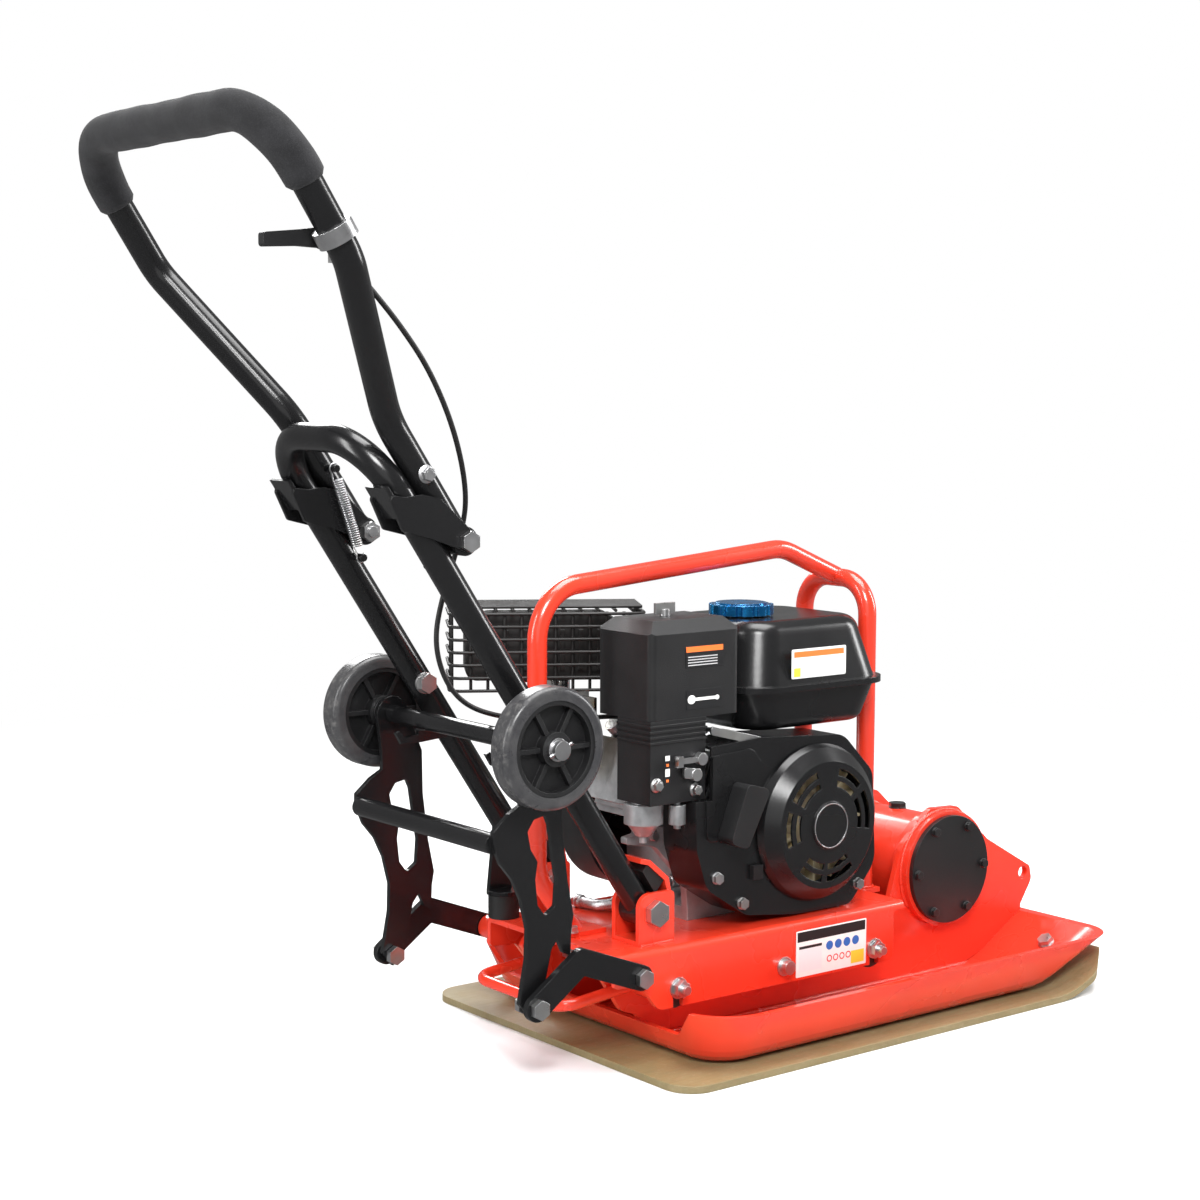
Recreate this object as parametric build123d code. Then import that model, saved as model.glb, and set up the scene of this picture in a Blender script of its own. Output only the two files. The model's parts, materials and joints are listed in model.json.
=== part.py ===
from build123d import *
import math
import os

# Plate compactor. +X is the direction of travel, +Y the belt side, +Z up.
# The origin is the centre of the paving pad's flat underside. All sizes are in millimetres.

# Base
PAD_THICK = 8.0
PAD_BEND = 120.0
TRAY_THICK = 7.0
TRAY_TOP = 69.0
FLOOR = PAD_THICK + TRAY_THICK
FRONT_ANGLE = math.radians(31)
REAR_ANGLE = math.radians(67)
SIDE_ANGLE = math.radians(63)
NEAR_RIB = (-82.0, -74.0)
FAR_RIB = (59.0, 67.0)

# Exciter
EXCITER = (242.0, 145.0)
HOUSING_RADIUS = 62.0
CHAMBER_RADIUS = 50.0
RING_RADIUS = 72.0
SEAT_RADIUS = 45.0
SHAFT_RADIUS = 19.95
COVER_INNER = 92.0
COVER_OUTER = 98.0

# Deck
DECK_TOP = 131.0
SHEET = 6.0
DECK_REAR = -322.0
DECK_FRONT = 118.0
NEAR_FLANGE = -140.0
FAR_FLANGE = 97.0
MOUNTS = ((-233.5, 84.0), (67.8, 81.0))
MOUNT_RADIUS = 24.0
FRAME_REAR = (-338.0, -21.0)
HOOP_X = 133.0
HOOP_HALF = 55.0
FRAME_RADIUS = 11.0

# Engine
CRANK = (-10.0, 238.0)
LEAN = math.radians(18)
CASE_NEAR = -60.0
CASE_FAR = 95.0
BLOWER_FACE = -118.0
CRANK_RADIUS = 12.5
FAN_RADIUS = 76.0
BADGE_RADIUS = 28.0
LOUVRES = ((107, 149), (161, 198), (228, 261), (268, 306), (-10, 32), (40, 76))
CAP = (-40.0, -20.0)
PULLEY_NEAR = 108.0
PULLEY_FAR = 130.0
ENGINE_PITCH = 46.0
EXCITER_PITCH = 30.0
BELT_HALF = 4.0

# Handle
PIVOT = (-250.0, 166.0)
CROWN = (-601.0, 687.0)
LEG_Y = 95.0
LEG_RADIUS = 15.0
FOLD = (-493.5, 583.0)
UPPER_KNEE = (-577.0, 706.0)
UPPER_WIDE = (-679.0, 857.0)
GRIP_BAR = (-765.0, 990.0)
GRIP_Y = 191.0
GRIP_END = (-722.0, 923.5)
GRIP_RADIUS = 20.0
LOWER_STUD = (-508.0, 556.0)
UPPER_STUD = (-541.0, 652.0)
SPRING_Y = 66.0
THROTTLE = (-690.0, -166.0, 876.0)
CABLE_RADIUS = 2.75

# Transport wheels
LINK_PIVOT = (-291.0, 106.0)
WHEEL_PIVOT = (-430.0, 96.0)
AXLE = (-429.0, 372.5)
AXLE_RADIUS = 10.0
WHEEL_RADIUS = 64.0
WHEEL_Y = (147.0, 179.0)

UPPER_CABLE = (
    (-669, -168, 858), (-638, -163, 831), (-597, -150, 798), (-552, -134, 755), (-508, -112, 696),
    (-478, -90, 634), (-472, -74, 592), (-480, -64, 552),
)
LOWER_CABLE = (
    (-480, -64, 552), (-488, -54, 512), (-492, -51, 472), (-479, -49, 434), (-455, -48, 407),
    (-418, -46, 391), (-362, -45, 380), (-306, -37, 373), (-258, -9, 369), (-205, -4, 366), (-158, -6, 358),
)


# Shapes

def cylinder_y(radius, y0, y1, x, z):
    return Pos(x, (y0 + y1) / 2, z) * Rot(90, 0, 0) * Cylinder(radius, y1 - y0)


def cylinder_z(radius, z0, z1, x, y):
    return Pos(x, y, (z0 + z1) / 2) * Cylinder(radius, z1 - z0)


def block(x0, x1, y0, y1, z0, z1):
    return Pos((x0 + x1) / 2, (y0 + y1) / 2, (z0 + z1) / 2) * Box(x1 - x0, y1 - y0, z1 - z0)


def outline(points, radius):
    if radius == 0:
        return make_face(Polyline(*points, close=True))
    return make_face(FilletPolyline(*points, radius=radius, close=True))


def plate_x(points, x0, x1, radius=0):
    """A plate across X whose outline is given as (y, z)."""
    return extrude(Plane((x0, 0, 0), x_dir=(0, 1, 0), z_dir=(1, 0, 0)) * outline(points, radius), x1 - x0)


def plate_y(points, y0, y1, radius=0):
    """A plate across Y whose outline is given as (x, z)."""
    return extrude(Plane((0, y1, 0), x_dir=(1, 0, 0), z_dir=(0, -1, 0)) * outline(points, radius), y1 - y0)


def plate_z(points, z0, z1, radius=0):
    return extrude(Plane((0, 0, z0)) * outline(points, radius), z1 - z0)


def rod(start, end, radius):
    along = Vector(end) - Vector(start)
    return extrude(Plane(Vector(start), z_dir=along) * Circle(radius), along.length)


def hexagon(across, start, direction, height):
    face = Plane(Vector(start), z_dir=Vector(direction)) * RegularPolygon(across / 2, 6, major_radius=False)
    return extrude(face, height)


def bent_tube(points, radius, outer, inner=0):
    """A round tube or bar along straight runs joined by tangent arcs."""
    path = FilletPolyline(*points, radius=radius)
    section = Circle(outer) if inner == 0 else Circle(outer) - Circle(inner)
    return sweep(Plane(path @ 0, z_dir=path % 0) * section, path=path)


def bolt(seat, outward, length, radius):
    """A hex bolt and washer: the washer sits on the seat and the shank runs inward from it."""
    out = Vector(outward).normalized()
    seat = Vector(seat)
    washer = rod(seat, seat + out * radius * 0.4, radius * 2)
    head = hexagon(radius * 3.3, seat + out * radius * 0.4, out, radius * 1.3)
    return washer + head + rod(seat - out * length, seat, radius)


def capsule_y(start, end, radius, y0, y1):
    """A flat bar with round ends between two (x, z) points."""
    dx = end[0] - start[0]
    dz = end[1] - start[1]
    length = math.hypot(dx, dz)
    nx = -dz / length * radius
    nz = dx / length * radius
    corners = (
        (start[0] + nx, start[1] + nz), (end[0] + nx, end[1] + nz),
        (end[0] - nx, end[1] - nz), (start[0] - nx, start[1] - nz),
    )
    bar = plate_y(corners, y0, y1)
    return bar + cylinder_y(radius, y0, y1, *start) + cylinder_y(radius, y0, y1, *end)


def capsule_z(start, end, radius, z0, z1):
    """A flat bar with round ends between two (x, y) points."""
    dx = end[0] - start[0]
    dy = end[1] - start[1]
    length = math.hypot(dx, dy)
    nx = -dy / length * radius
    ny = dx / length * radius
    corners = (
        (start[0] + nx, start[1] + ny), (end[0] + nx, end[1] + ny),
        (end[0] - nx, end[1] - ny), (start[0] - nx, start[1] - ny),
    )
    return plate_z(corners, z0, z1) + cylinder_z(radius, z0, z1, *start) + cylinder_z(radius, z0, z1, *end)


def tangent_band(first, second, r_first, r_second, y0, y1):
    """The solid that a tight loop round two circles encloses."""
    dx = second[0] - first[0]
    dz = second[1] - first[1]
    span = math.hypot(dx, dz)
    heading = math.atan2(dz, dx)
    spread = math.acos((r_first - r_second) / span)
    corners = []
    for centre, radius, angle in (
        (first, r_first, heading + spread), (second, r_second, heading + spread),
        (second, r_second, heading - spread), (first, r_first, heading - spread),
    ):
        corners.append((centre[0] + radius * math.cos(angle), centre[1] + radius * math.sin(angle)))
    band = plate_y(corners, y0, y1)
    return band + cylinder_y(r_first, y0, y1, *first) + cylinder_y(r_second, y0, y1, *second)


def both_sides(shape):
    return [shape, mirror(shape, about=Plane.XZ)]


def across_crank(s, n):
    """A point (x, z) at s along the leaning cylinder axis and n above it."""
    x = CRANK[0] - s * math.cos(LEAN) + n * math.sin(LEAN)
    z = CRANK[1] + s * math.sin(LEAN) + n * math.cos(LEAN)
    return x, z


def across_leg(s, n):
    """A point (x, z) at s up the lower handle's leg from its pivot and n in front of its axis."""
    dx = CROWN[0] - PIVOT[0]
    dz = CROWN[1] - PIVOT[1]
    length = math.hypot(dx, dz)
    return PIVOT[0] + (s * dx + n * dz) / length, PIVOT[1] + (s * dz - n * dx) / length


# Base

def wall_reach(height, angle, radius):
    """How far a wall that bends up from flat stands out at a height above its surface."""
    bend = radius * (1 - math.cos(angle))
    if height < bend:
        return math.sqrt(radius ** 2 - (radius - height) ** 2)
    return radius * math.sin(angle) + (height - bend) / math.tan(angle)


def tray_body(inset, bottom, top):
    """The space inside the pressed tray's outer skin, or inside its inner skin."""
    levels = [0, 0.5, 2, 5, 10, 17, top - bottom]
    sections = []
    for height in levels:
        front = 267 + wall_reach(height, FRONT_ANGLE, 120 - inset)
        rear = -219.5 - wall_reach(height, REAR_ANGLE, 25 - inset)
        side = 186.6 + wall_reach(height, SIDE_ANGLE, 30 - inset)
        corner = 30 + (side - 186.6) * 0.9 - inset
        nose = 22 + (side - 186.6) * 0.6 - inset
        points = ((rear, -side), (front, -side), (front, side), (rear, side))
        level = bottom + height
        sections.append(Plane((0, 0, level)) * outline(points, [corner, nose, nose, corner]))
    return loft(sections, ruled=True)


def make_base_plate():
    tray = tray_body(0, PAD_THICK, TRAY_TOP) - tray_body(TRAY_THICK, FLOOR, TRAY_TOP)
    dip = plate_x(((-196, 80), (-160, 38), (160, 38), (196, 80)), -300, -200, [0, 16, 16, 0])
    return tray - dip


def make_paving_pad():
    slope = math.tan(math.radians(22))
    tip = 400
    fold = 308
    lift = (tip - fold) * slope
    side = (
        (-305, 0), (fold, 0), (tip, lift), (tip - 3, lift + PAD_THICK / math.cos(math.radians(22)) - 1),
        (fold - 1.6, PAD_THICK), (-305, PAD_THICK),
    )
    bent = plate_y(side, -240, 240, [0, PAD_BEND, 0, 0, PAD_BEND - PAD_THICK, 0])
    plan = ((-305, -240), (352, -240), (420, -190), (420, 190), (352, 240), (-305, 240))
    return bent & plate_z(plan, -1, 60, [35, 30, 30, 30, 30, 35])


def rib_outline():
    return (
        (-300, 100), (-266, 50), (-244, 42), (-225, 12), (270, 12), (325, 28), (391, 70), (391, 77),
        (411, 107), (407, 125), (326, 170), (269, 219), (222, 221), (172, 180), (150, 112), (-290, 112),
    )


def make_side_ribs(tray):
    welded = None
    for near, far in (NEAR_RIB, FAR_RIB):
        rib = plate_y(rib_outline(), near, far, [3, 12, 6, 0, 0, 0, 2, 4, 12, 8, 20, 14, 14, 20, 12, 4])
        rib -= cylinder_y(8, near - 1, far + 1, 394, 118)
        rib -= cylinder_y(RING_RADIUS, near - 1, far + 1, *EXCITER)
        welded = rib if welded is None else welded + rib
    for x, z in MOUNTS:
        welded += cylinder_y(22, -110, NEAR_RIB[0], x, z)
    bar = bent_tube(((-262, -88, 79), (-355, -88, 70), (-355, 73, 70), (-262, 73, 79)), 22, 6.5)
    return (welded + bar) - tray


def make_exciter_housing():
    x, z = EXCITER
    housing = cylinder_y(HOUSING_RADIUS, -66, 59, x, z)
    housing += cylinder_y(RING_RADIUS, -COVER_INNER, -66, x, z)
    housing += cylinder_y(RING_RADIUS, 59, COVER_INNER, x, z)
    housing -= cylinder_y(CHAMBER_RADIUS, -64, 64, x, z)
    housing -= cylinder_y(SEAT_RADIUS, -COVER_INNER, COVER_INNER, x, z)
    return housing - cylinder_z(7, z, 240, x + 5, 0)


def make_exciter_covers():
    x, z = EXCITER
    covers = []
    for side in (-1, 1):
        inner = side * COVER_INNER
        outer = side * COVER_OUTER
        cover = cylinder_y(67, min(inner, outer), max(inner, outer), x, z)
        lip = side * 87
        cover += cylinder_y(SEAT_RADIUS, min(inner, lip), max(inner, lip), x, z)
        cover -= cylinder_y(26, min(inner, lip) - 0.01, max(inner, lip), x, z)
        if side > 0:
            cover -= cylinder_y(17, lip, outer, x, z)
        covers.append(cover)
    return covers


def make_exciter_bolts():
    x, z = EXCITER
    bolts = []
    for side in (-1, 1):
        for k in range(6):
            angle = math.radians(60 * k)
            seat = (x + 58 * math.cos(angle), side * COVER_OUTER, z + 58 * math.sin(angle))
            bolts.append(bolt(seat, (0, side, 0), 22, 3))
    plug = cylinder_z(6.9, 196, 206.5, x + 5, 0) + hexagon(19, (x + 5, 0, 206.5), (0, 0, 1), 7)
    plug += cylinder_z(11, 206.2, 208, x + 5, 0)
    bolts.append(plug)
    return bolts


def make_exciter_bearings():
    bearing = cylinder_y(SEAT_RADIUS, -87, -64, *EXCITER)
    return both_sides(bearing - cylinder_y(SHAFT_RADIUS + 0.05, -88, -63, *EXCITER))


def make_eccentric_shaft():
    x, z = EXCITER
    shaft = cylinder_y(SHAFT_RADIUS, -87, 87, x, z) + cylinder_y(15, 87, 135, x, z)
    weight = cylinder_y(42, -55, 55, x, z) & block(x - 50, x + 50, -55, 55, z - 50, z - 2)
    return shaft + weight


def make_pulley(centre, pitch, bore):
    pulley = cylinder_y(pitch + BELT_HALF + 0.5, PULLEY_NEAR, PULLEY_FAR, *centre)
    groove = cylinder_y(pitch + 20, PULLEY_NEAR + 5, PULLEY_FAR - 5, *centre)
    groove -= cylinder_y(pitch - BELT_HALF - 0.4, PULLEY_NEAR + 5, PULLEY_FAR - 5, *centre)
    return pulley - groove - cylinder_y(bore, PULLEY_NEAR, PULLEY_FAR, *centre)


def make_v_belt():
    y0 = PULLEY_NEAR + 5.4
    y1 = PULLEY_FAR - 5.4
    outside = tangent_band(CRANK, EXCITER, ENGINE_PITCH + BELT_HALF, EXCITER_PITCH + BELT_HALF, y0, y1)
    inside = tangent_band(CRANK, EXCITER, ENGINE_PITCH - BELT_HALF, EXCITER_PITCH - BELT_HALF, y0, y1)
    return outside - inside


def make_belt_guard():
    rear = (-95, 215)

    def cover(shrink, y0, y1):
        hull = tangent_band(rear, EXCITER, 80 - shrink, 76 - shrink, y0, y1)
        return hull + tangent_band(CRANK, EXCITER, 64 - shrink, 76 - shrink, y0, y1)

    guard = cover(0, 100, 155) - cover(2.5, 100, 152.5)
    for x, z in ((-92, 205), (-62, 158)):
        guard += cylinder_y(8, CASE_FAR, 152.5, x, z)
    return guard


# Deck

def make_engine_deck():
    channel = (
        (NEAR_FLANGE, 60), (NEAR_FLANGE, DECK_TOP), (FAR_FLANGE, DECK_TOP), (FAR_FLANGE, 60),
        (FAR_FLANGE - SHEET, 60), (FAR_FLANGE - SHEET, DECK_TOP - SHEET),
        (NEAR_FLANGE + SHEET, DECK_TOP - SHEET), (NEAR_FLANGE + SHEET, 60),
    )
    deck = plate_x(channel, DECK_REAR, DECK_FRONT, [0, 8, 8, 0, 0, 2, 2, 0])
    side = (
        (DECK_REAR, 140), (DECK_REAR, 96), (-286, 95), (-261, 63), (100, 62), (100, 122), (DECK_FRONT, 122),
        (DECK_FRONT, 140),
    )
    deck &= plate_y(side, -150, 110, [0, 5, 12, 16, 8, 6, 0, 0])
    for x, z in MOUNTS:
        deck -= capsule_y((x, z), (x, 40), 7, -150, 110)
    deck += block(110, HOOP_X + 14, -HOOP_HALF - 15, HOOP_HALF + 15, DECK_TOP - SHEET, DECK_TOP)
    return deck + cylinder_y(14, FAR_FLANGE, 140, *LINK_PIVOT)


def make_isolators():
    mounts = []
    for x, z in MOUNTS:
        mounts.append(cylinder_y(MOUNT_RADIUS, -134, -110, x, z))
        mounts.append(cylinder_y(MOUNT_RADIUS, FAR_RIB[1], 91, x, z))
    return mounts


def make_base_bolts():
    bolts = []
    for x, z in MOUNTS:
        for side, flange, rubber, inner in ((-1, NEAR_FLANGE, 134, 92), (1, FAR_FLANGE, 91, 50)):
            stud = rod((x, side * rubber, z), (x, flange + side * 17, z), 5)
            stud += rod((x, flange, z), (x, flange + side * 2, z), 12)
            bolts.append(stud + hexagon(17, (x, flange + side * 2, z), (0, side, 0), 8))
        bolts.append(rod((x, -110, z), (x, -90, z), 5))
        bolts.append(rod((x, FAR_RIB[1], z), (x, 48, z), 5) + hexagon(17, (x, 59, z), (0, -1, 0), 8))
    dome = rod((-76, -126, 82.6), (-76, -150, 82.6), 5) + rod((-76, NEAR_FLANGE, 82.6), (-76, -142, 82.6), 11)
    bolts.append(dome + rod((-76, -142, 82.6), (-76, -151, 82.6), 8))
    normal = Vector(-math.sin(FRONT_ANGLE), 0, math.cos(FRONT_ANGLE))
    for y in (-160, 160):
        bolts.append(bolt(Vector(352, y, 47.25), normal, 36, 5))
        bolts.append(bolt(Vector(-200, y * 1.09, FLOOR), (0, 0, 1), 13, 5))
    for dy in (-17, 17):
        bolts.append(bolt((-303, FRAME_REAR[1] + dy, DECK_TOP + 5), (0, 0, 1), 20, 4))
    return bolts


def make_handle_bracket():
    """The U bracket of the near leg: two ears, a floor and the bent plate that backs the bump block."""
    ear = ((-272, DECK_TOP), (-272, 188), (-222, 188), (-222, DECK_TOP))
    bracket = plate_y(ear, -119, -113, [0, 16, 6, 0]) + plate_y(ear, -77, -71, [0, 16, 6, 0])
    bracket += block(-272, -228, -119, -71, DECK_TOP, DECK_TOP + 5)
    back = ((-228, DECK_TOP), (-228, 187), (-231, 198.5), (-254.5, 218.5), (-266, 221.5), (-265, 227),
            (-252, 224), (-225.5, 201.5), (-222, 187), (-222, DECK_TOP))
    bracket += plate_y(back, -113, -77)
    return bracket - cylinder_y(8, -120, -70, *PIVOT)


def make_handle_brackets():
    return both_sides(make_handle_bracket())


def make_bump_block():
    corners = (across_leg(12, 16.4), across_leg(44, 16.4), (-254.5, 218.5), (-231, 198.5))
    return plate_y(corners, -111, -79)


def make_handle_stops():
    stops = both_sides(make_bump_block())
    stops.append(cylinder_z(18, DECK_TOP, 158, -308, 84))
    return stops


def spine_point(x, z):
    """The spine runs slightly askew, from the rear foot to the middle of the front hoop."""
    return x, FRAME_REAR[1] * (HOOP_X - x) / (HOOP_X - FRAME_REAR[0]), z


def make_lifting_frame():
    spine = [spine_point(-277, 121), spine_point(-338, 200), spine_point(-338, 517),
             spine_point(38, 547), spine_point(HOOP_X, 509)]
    frame = bent_tube(spine, [50, 60, 70], FRAME_RADIUS, 8.5)
    base = DECK_TOP - 3
    hoop = (
        (HOOP_X, -HOOP_HALF, base), (HOOP_X, -HOOP_HALF, 507),
        (HOOP_X, HOOP_HALF, 507), (HOOP_X, HOOP_HALF, base),
    )
    frame += bent_tube(hoop, 42, FRAME_RADIUS, 8.5)
    rear = spine_point(-300, DECK_TOP)[1]
    frame += plate_y(((-326, DECK_TOP), (-318, 168), (-296, DECK_TOP)), rear - 3, rear + 3)
    for y in (-HOOP_HALF, HOOP_HALF):
        frame += plate_y(((98, DECK_TOP), (124, 176), (124, DECK_TOP)), y - 3, y + 3)
    frame += block(-316, -258, rear - 24, rear + 24, DECK_TOP, DECK_TOP + 5)
    return frame - block(-400, 200, -100, 100, 100, DECK_TOP)


# Engine

def make_crankcase():
    foot = block(-153, 90, CASE_NEAR, CASE_FAR - 25, DECK_TOP, 146)
    body = (
        (-118, 146), (70, 146), (82, 200), (78, 270), (40, 316), (-30, 326),
        across_crank(84, 50), across_crank(84, -50), (-118, 190),
    )
    case = foot + plate_y(body, CASE_NEAR, CASE_FAR, [8, 20, 20, 20, 30, 20, 6, 6, 8])
    arm = (
        (-153, 140), (-156, 176), (-201, 223), (-243, 231),
        (-243, 238), (-196, 246), (-110, 236), (-110, 140),
    )
    case += plate_y(arm, CASE_NEAR, CASE_NEAR + 10, [2, 10, 14, 2, 2, 10, 0, 0])
    case -= cylinder_y(62, CASE_NEAR + 10, CASE_FAR - 10, *CRANK)
    return case - cylinder_y(CRANK_RADIUS + 0.05, CASE_NEAR, CASE_FAR, *CRANK)


def finned_block(s0, s1, half, y0, y1):
    """A block across the cylinder axis, from s0 to s1 along it."""
    corners = (
        across_crank(s0, -half), across_crank(s1, -half), across_crank(s1, half), across_crank(s0, half),
    )
    return plate_y(corners, y0, y1, 0)


def make_cylinder_head():
    head = finned_block(84, 188, 34, -36, 44)
    for k in range(11):
        start = 90 + k * 9
        head += finned_block(start, start + 3, 48, -48, 54)
    plug = across_crank(186, 30)
    return head, rod((plug[0] - 1, 20, plug[1] + 8.6), (plug[0] - 24, 20, plug[1] + 30), 9)


def make_valve_cover():
    cover = finned_block(188, 214, 36, -34, 42)
    return cover + finned_block(188, 192, 41, -39, 47)


def blower_outline():
    return (
        (-193, 340), (-95, 345), (34, 337), (83, 288), (89, 179), (49, 133), (-38, 133),
        (-115, 143), (-174, 180), (-189, 226),
    )


def make_blower_housing():
    corners = [26, 30, 34, 24, 34, 20, 20, 24, 30, 30]
    housing = plate_y(blower_outline(), BLOWER_FACE, CASE_NEAR, corners)
    case = make_face(FilletPolyline(*blower_outline(), radius=corners, close=True))
    inside = Plane((0, CASE_NEAR, 0), x_dir=(1, 0, 0), z_dir=(0, -1, 0)) * offset(case, -3)
    housing -= extrude(inside, CASE_NEAR - BLOWER_FACE - 3)
    panel = ((-180, 330), (-110, 334), (-96, 318), (-112, 244), (-176, 232))
    housing += plate_y(panel, BLOWER_FACE - 3, BLOWER_FACE, 10)
    housing -= cylinder_y(78, BLOWER_FACE - 1, BLOWER_FACE + 4, *CRANK)
    return housing - block(-260, -169, -122, CASE_NEAR + 1, 281, 380)


def make_recoil_cover():
    x, z = CRANK
    cone = ((92, BLOWER_FACE), (92, -121), (88, -128), (74, -141), (24, -144), (24, -141.5), (73, -138.5),
            (85, -126.5), (86, BLOWER_FACE))
    profile = Plane((x, 0, z)) * make_face(Polyline(*cone, close=True))
    shell = revolve(profile, axis=Axis((x, 0, z), (0, 1, 0)))
    rings = cylinder_y(52, -146, -137, x, z) - cylinder_y(45, -146, -137, x, z)
    rings += cylinder_y(66, -146, -137, x, z) - cylinder_y(58, -146, -137, x, z)
    for start, stop in LOUVRES:
        edges = [(x, z)]
        for angle in (start, (start + stop) / 2, stop):
            edges.append((x + 90 * math.cos(math.radians(angle)), z + 90 * math.sin(math.radians(angle))))
        shell -= rings & plate_y(edges, -147, -136)
    return shell + cylinder_y(BADGE_RADIUS, -145.5, -141.5, x, z)


def make_starter_grip():
    grip = ((-138, 300), (-104, 291), (-138, 226), (-163, 236))
    return plate_y(grip, -146, BLOWER_FACE - 3.2, 7)


def make_engine_switch():
    return block(-110, -95.5, -124.5, BLOWER_FACE, 184, 200)


def make_flywheel_fan():
    x, z = CRANK
    fan = cylinder_y(FAN_RADIUS, -104, -96, x, z) + cylinder_y(24, -96, -72, x, z)
    for k in range(16):
        blade = block(x + 34, x + FAN_RADIUS - 3, -118, -104, z - 1.5, z + 1.5)
        fan += blade.rotate(Axis((x, 0, z), (0, 1, 0)), 22.5 * k)
    return fan - cylinder_y(CRANK_RADIUS, -119, -71, x, z)


def make_crankshaft():
    shaft = cylinder_y(CRANK_RADIUS, -106, 134, *CRANK) + cylinder_y(46, -14, 14, *CRANK)
    return shaft


def make_fuel_tank():
    def shell(shrink):
        sections = []
        for z, draft in ((347 + shrink, 12), (393, 0), (400, 0), (472 - shrink, 17)):
            length = 214 - 2 * (draft + shrink)
            depth = 193 - 2 * (draft + shrink)
            sections.append(Pos(3, -16.5, z) * RectangleRounded(length, depth, 40 - shrink))
        lower = loft(sections[:2])
        upper = loft(sections[2:])
        lower = fillet(lower.faces().sort_by(Axis.Z)[0].edges(), 14 - shrink)
        upper = fillet(upper.faces().sort_by(Axis.Z)[-1].edges(), 20 - shrink)
        return lower + upper + extrude(sections[1], 7)

    flange = Pos(3, -16.5, 393) * extrude(RectangleRounded(230, 209, 46), 7)
    neck = cylinder_z(27, 462, 478, *CAP)
    return shell(0) + flange + neck - shell(3) - cylinder_z(22, 440, 480, *CAP)


def make_fuel_cap():
    cap = cylinder_z(38, 474, 486, *CAP)
    for k in range(12):
        angle = math.radians(30 * k + 15)
        cap -= cylinder_z(4, 470, 490, CAP[0] + 39 * math.cos(angle), CAP[1] + 39 * math.sin(angle))
    cap += cylinder_z(30, 486, 488, *CAP)
    cap -= cylinder_z(27.3, 473, 478.3, *CAP)
    return cap + cylinder_z(21.6, 466, 478.3, *CAP)


def make_air_filter_base():
    shroud = block(-250, -171, -110, -52, 282, 375)
    for k in range(4):
        shroud += block(-251.5, -169.5, -111.5, -52, 350 + 6 * k, 352.5 + 6 * k)
    return shroud - block(-247, -174, -107, -51, 281, 372)


def make_air_filter_cover():
    cover = block(-250, -121, -110, -15, 375.2, 484)
    cover = chamfer(cover.faces().sort_by(Axis.Z)[-1].edges(), 14)
    cover = fillet(cover.edges().filter_by(Axis.Z), 8)
    inside = block(-247, -124, -107, -18, 375, 470)
    return cover - inside


def make_filter_nut():
    nut = cylinder_z(6, 484.3, 492, -190, -60)
    return nut + block(-204, -176, -62, -58, 487, 499)


def make_carburetor():
    body = block(-244, -210, -98, -52, 284, 332) + cylinder_y(18, -104, -52, -227, 308)
    body += block(-214, -176, -58.5, -52, 290, 326)
    bowl = cylinder_z(22, 256, 279, -230, -74) + cylinder_z(14, 279, 284, -230, -74)
    bowl += Pos(-230, -74, 249) * Cone(9, 19, 14) + cylinder_z(5, 234, 243, -230, -74)
    cup = cylinder_z(9.5, 256, 278, -203, -100) + cylinder_z(4, 278, 284, -203, -100)
    return body, bowl, cup + cylinder_z(4, 251, 256, -203, -100)


def make_choke_lever():
    arm = block(-214, -181, -117, -113, 326, 332) + cylinder_y(7, -118, -110.2, -181, 329)
    return arm + block(-218, -211, -120, -113, 323, 335)


def make_fuel_lever():
    arm = plate_y(((-207, 322), (-183, 318), (-183, 306), (-207, 310)), -117, -113, 3)
    return arm + cylinder_y(7, -118, -110.2, -189, 312)


def make_governor_lever():
    arm = capsule_z((-146, -14), (-146, -60), 6, 352, 355) + capsule_z((-146, -60), (-134, -100), 6, 352, 355)
    return arm - cylinder_z(4.1, 351, 356, -146, -60)


def on_muffler(shape):
    """Places a shape made square to the muffler, which stands turned on the engine."""
    return Pos(-226, 110, 432) * Rot(0, 0, -32) * shape


def make_muffler():
    arch = ((-96, -38), (96, -38), (96, 24), (70, 40), (-70, 40), (-96, 24))
    body = plate_y(arch, 16, 72, 14)
    ribs = [block(x, x + 5, 13, 16, -26, 22) for x in range(-72, 70, 22)]
    return on_muffler(body + ribs)


def make_muffler_guard():
    wire = 1.9
    wires = []
    for k in range(7):
        z = -48 + 15 * k
        loop = ((-115, 78, z), (-115, 0, z), (115, 0, z), (115, 78, z))
        wires.append(bent_tube(loop, 14, wire))
    for k in range(10):
        x = -90 + 20 * k
        wires.append(rod((x, 2 * wire, -50), (x, 2 * wire, 44), wire))
    for side in (-1, 1):
        for y in (24, 48, 72):
            x = side * (115 - 2 * wire)
            wires.append(rod((x, y, -50), (x, y, 44), wire))
    for k in range(11):
        x = -100 + 20 * k
        wires.append(rod((x, 0, 42 + 2 * wire), (x, 80, 42 + 2 * wire), wire))
    for y in (8, 20, 32, 44, 56, 68, 79):
        wires.append(rod((-112, y, 42 + 4 * wire), (112, y, 42 + 4 * wire), wire))
    wires.append(block(-30, 30, 72, 76, -48, -30))
    return [on_muffler(w) for w in wires]


def make_exhaust_manifold():
    route = ((-172, 54.9, 290), (-172, 92, 292), (-197, 128, 340), (-197, 128, 393))
    pipe = bent_tube(route, [20, 20], 14, 12)
    shield = block(-238, -234, 6, 62, 300, 388) + block(-238, -205, 58, 62, 300, 388)
    return pipe, shield


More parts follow.
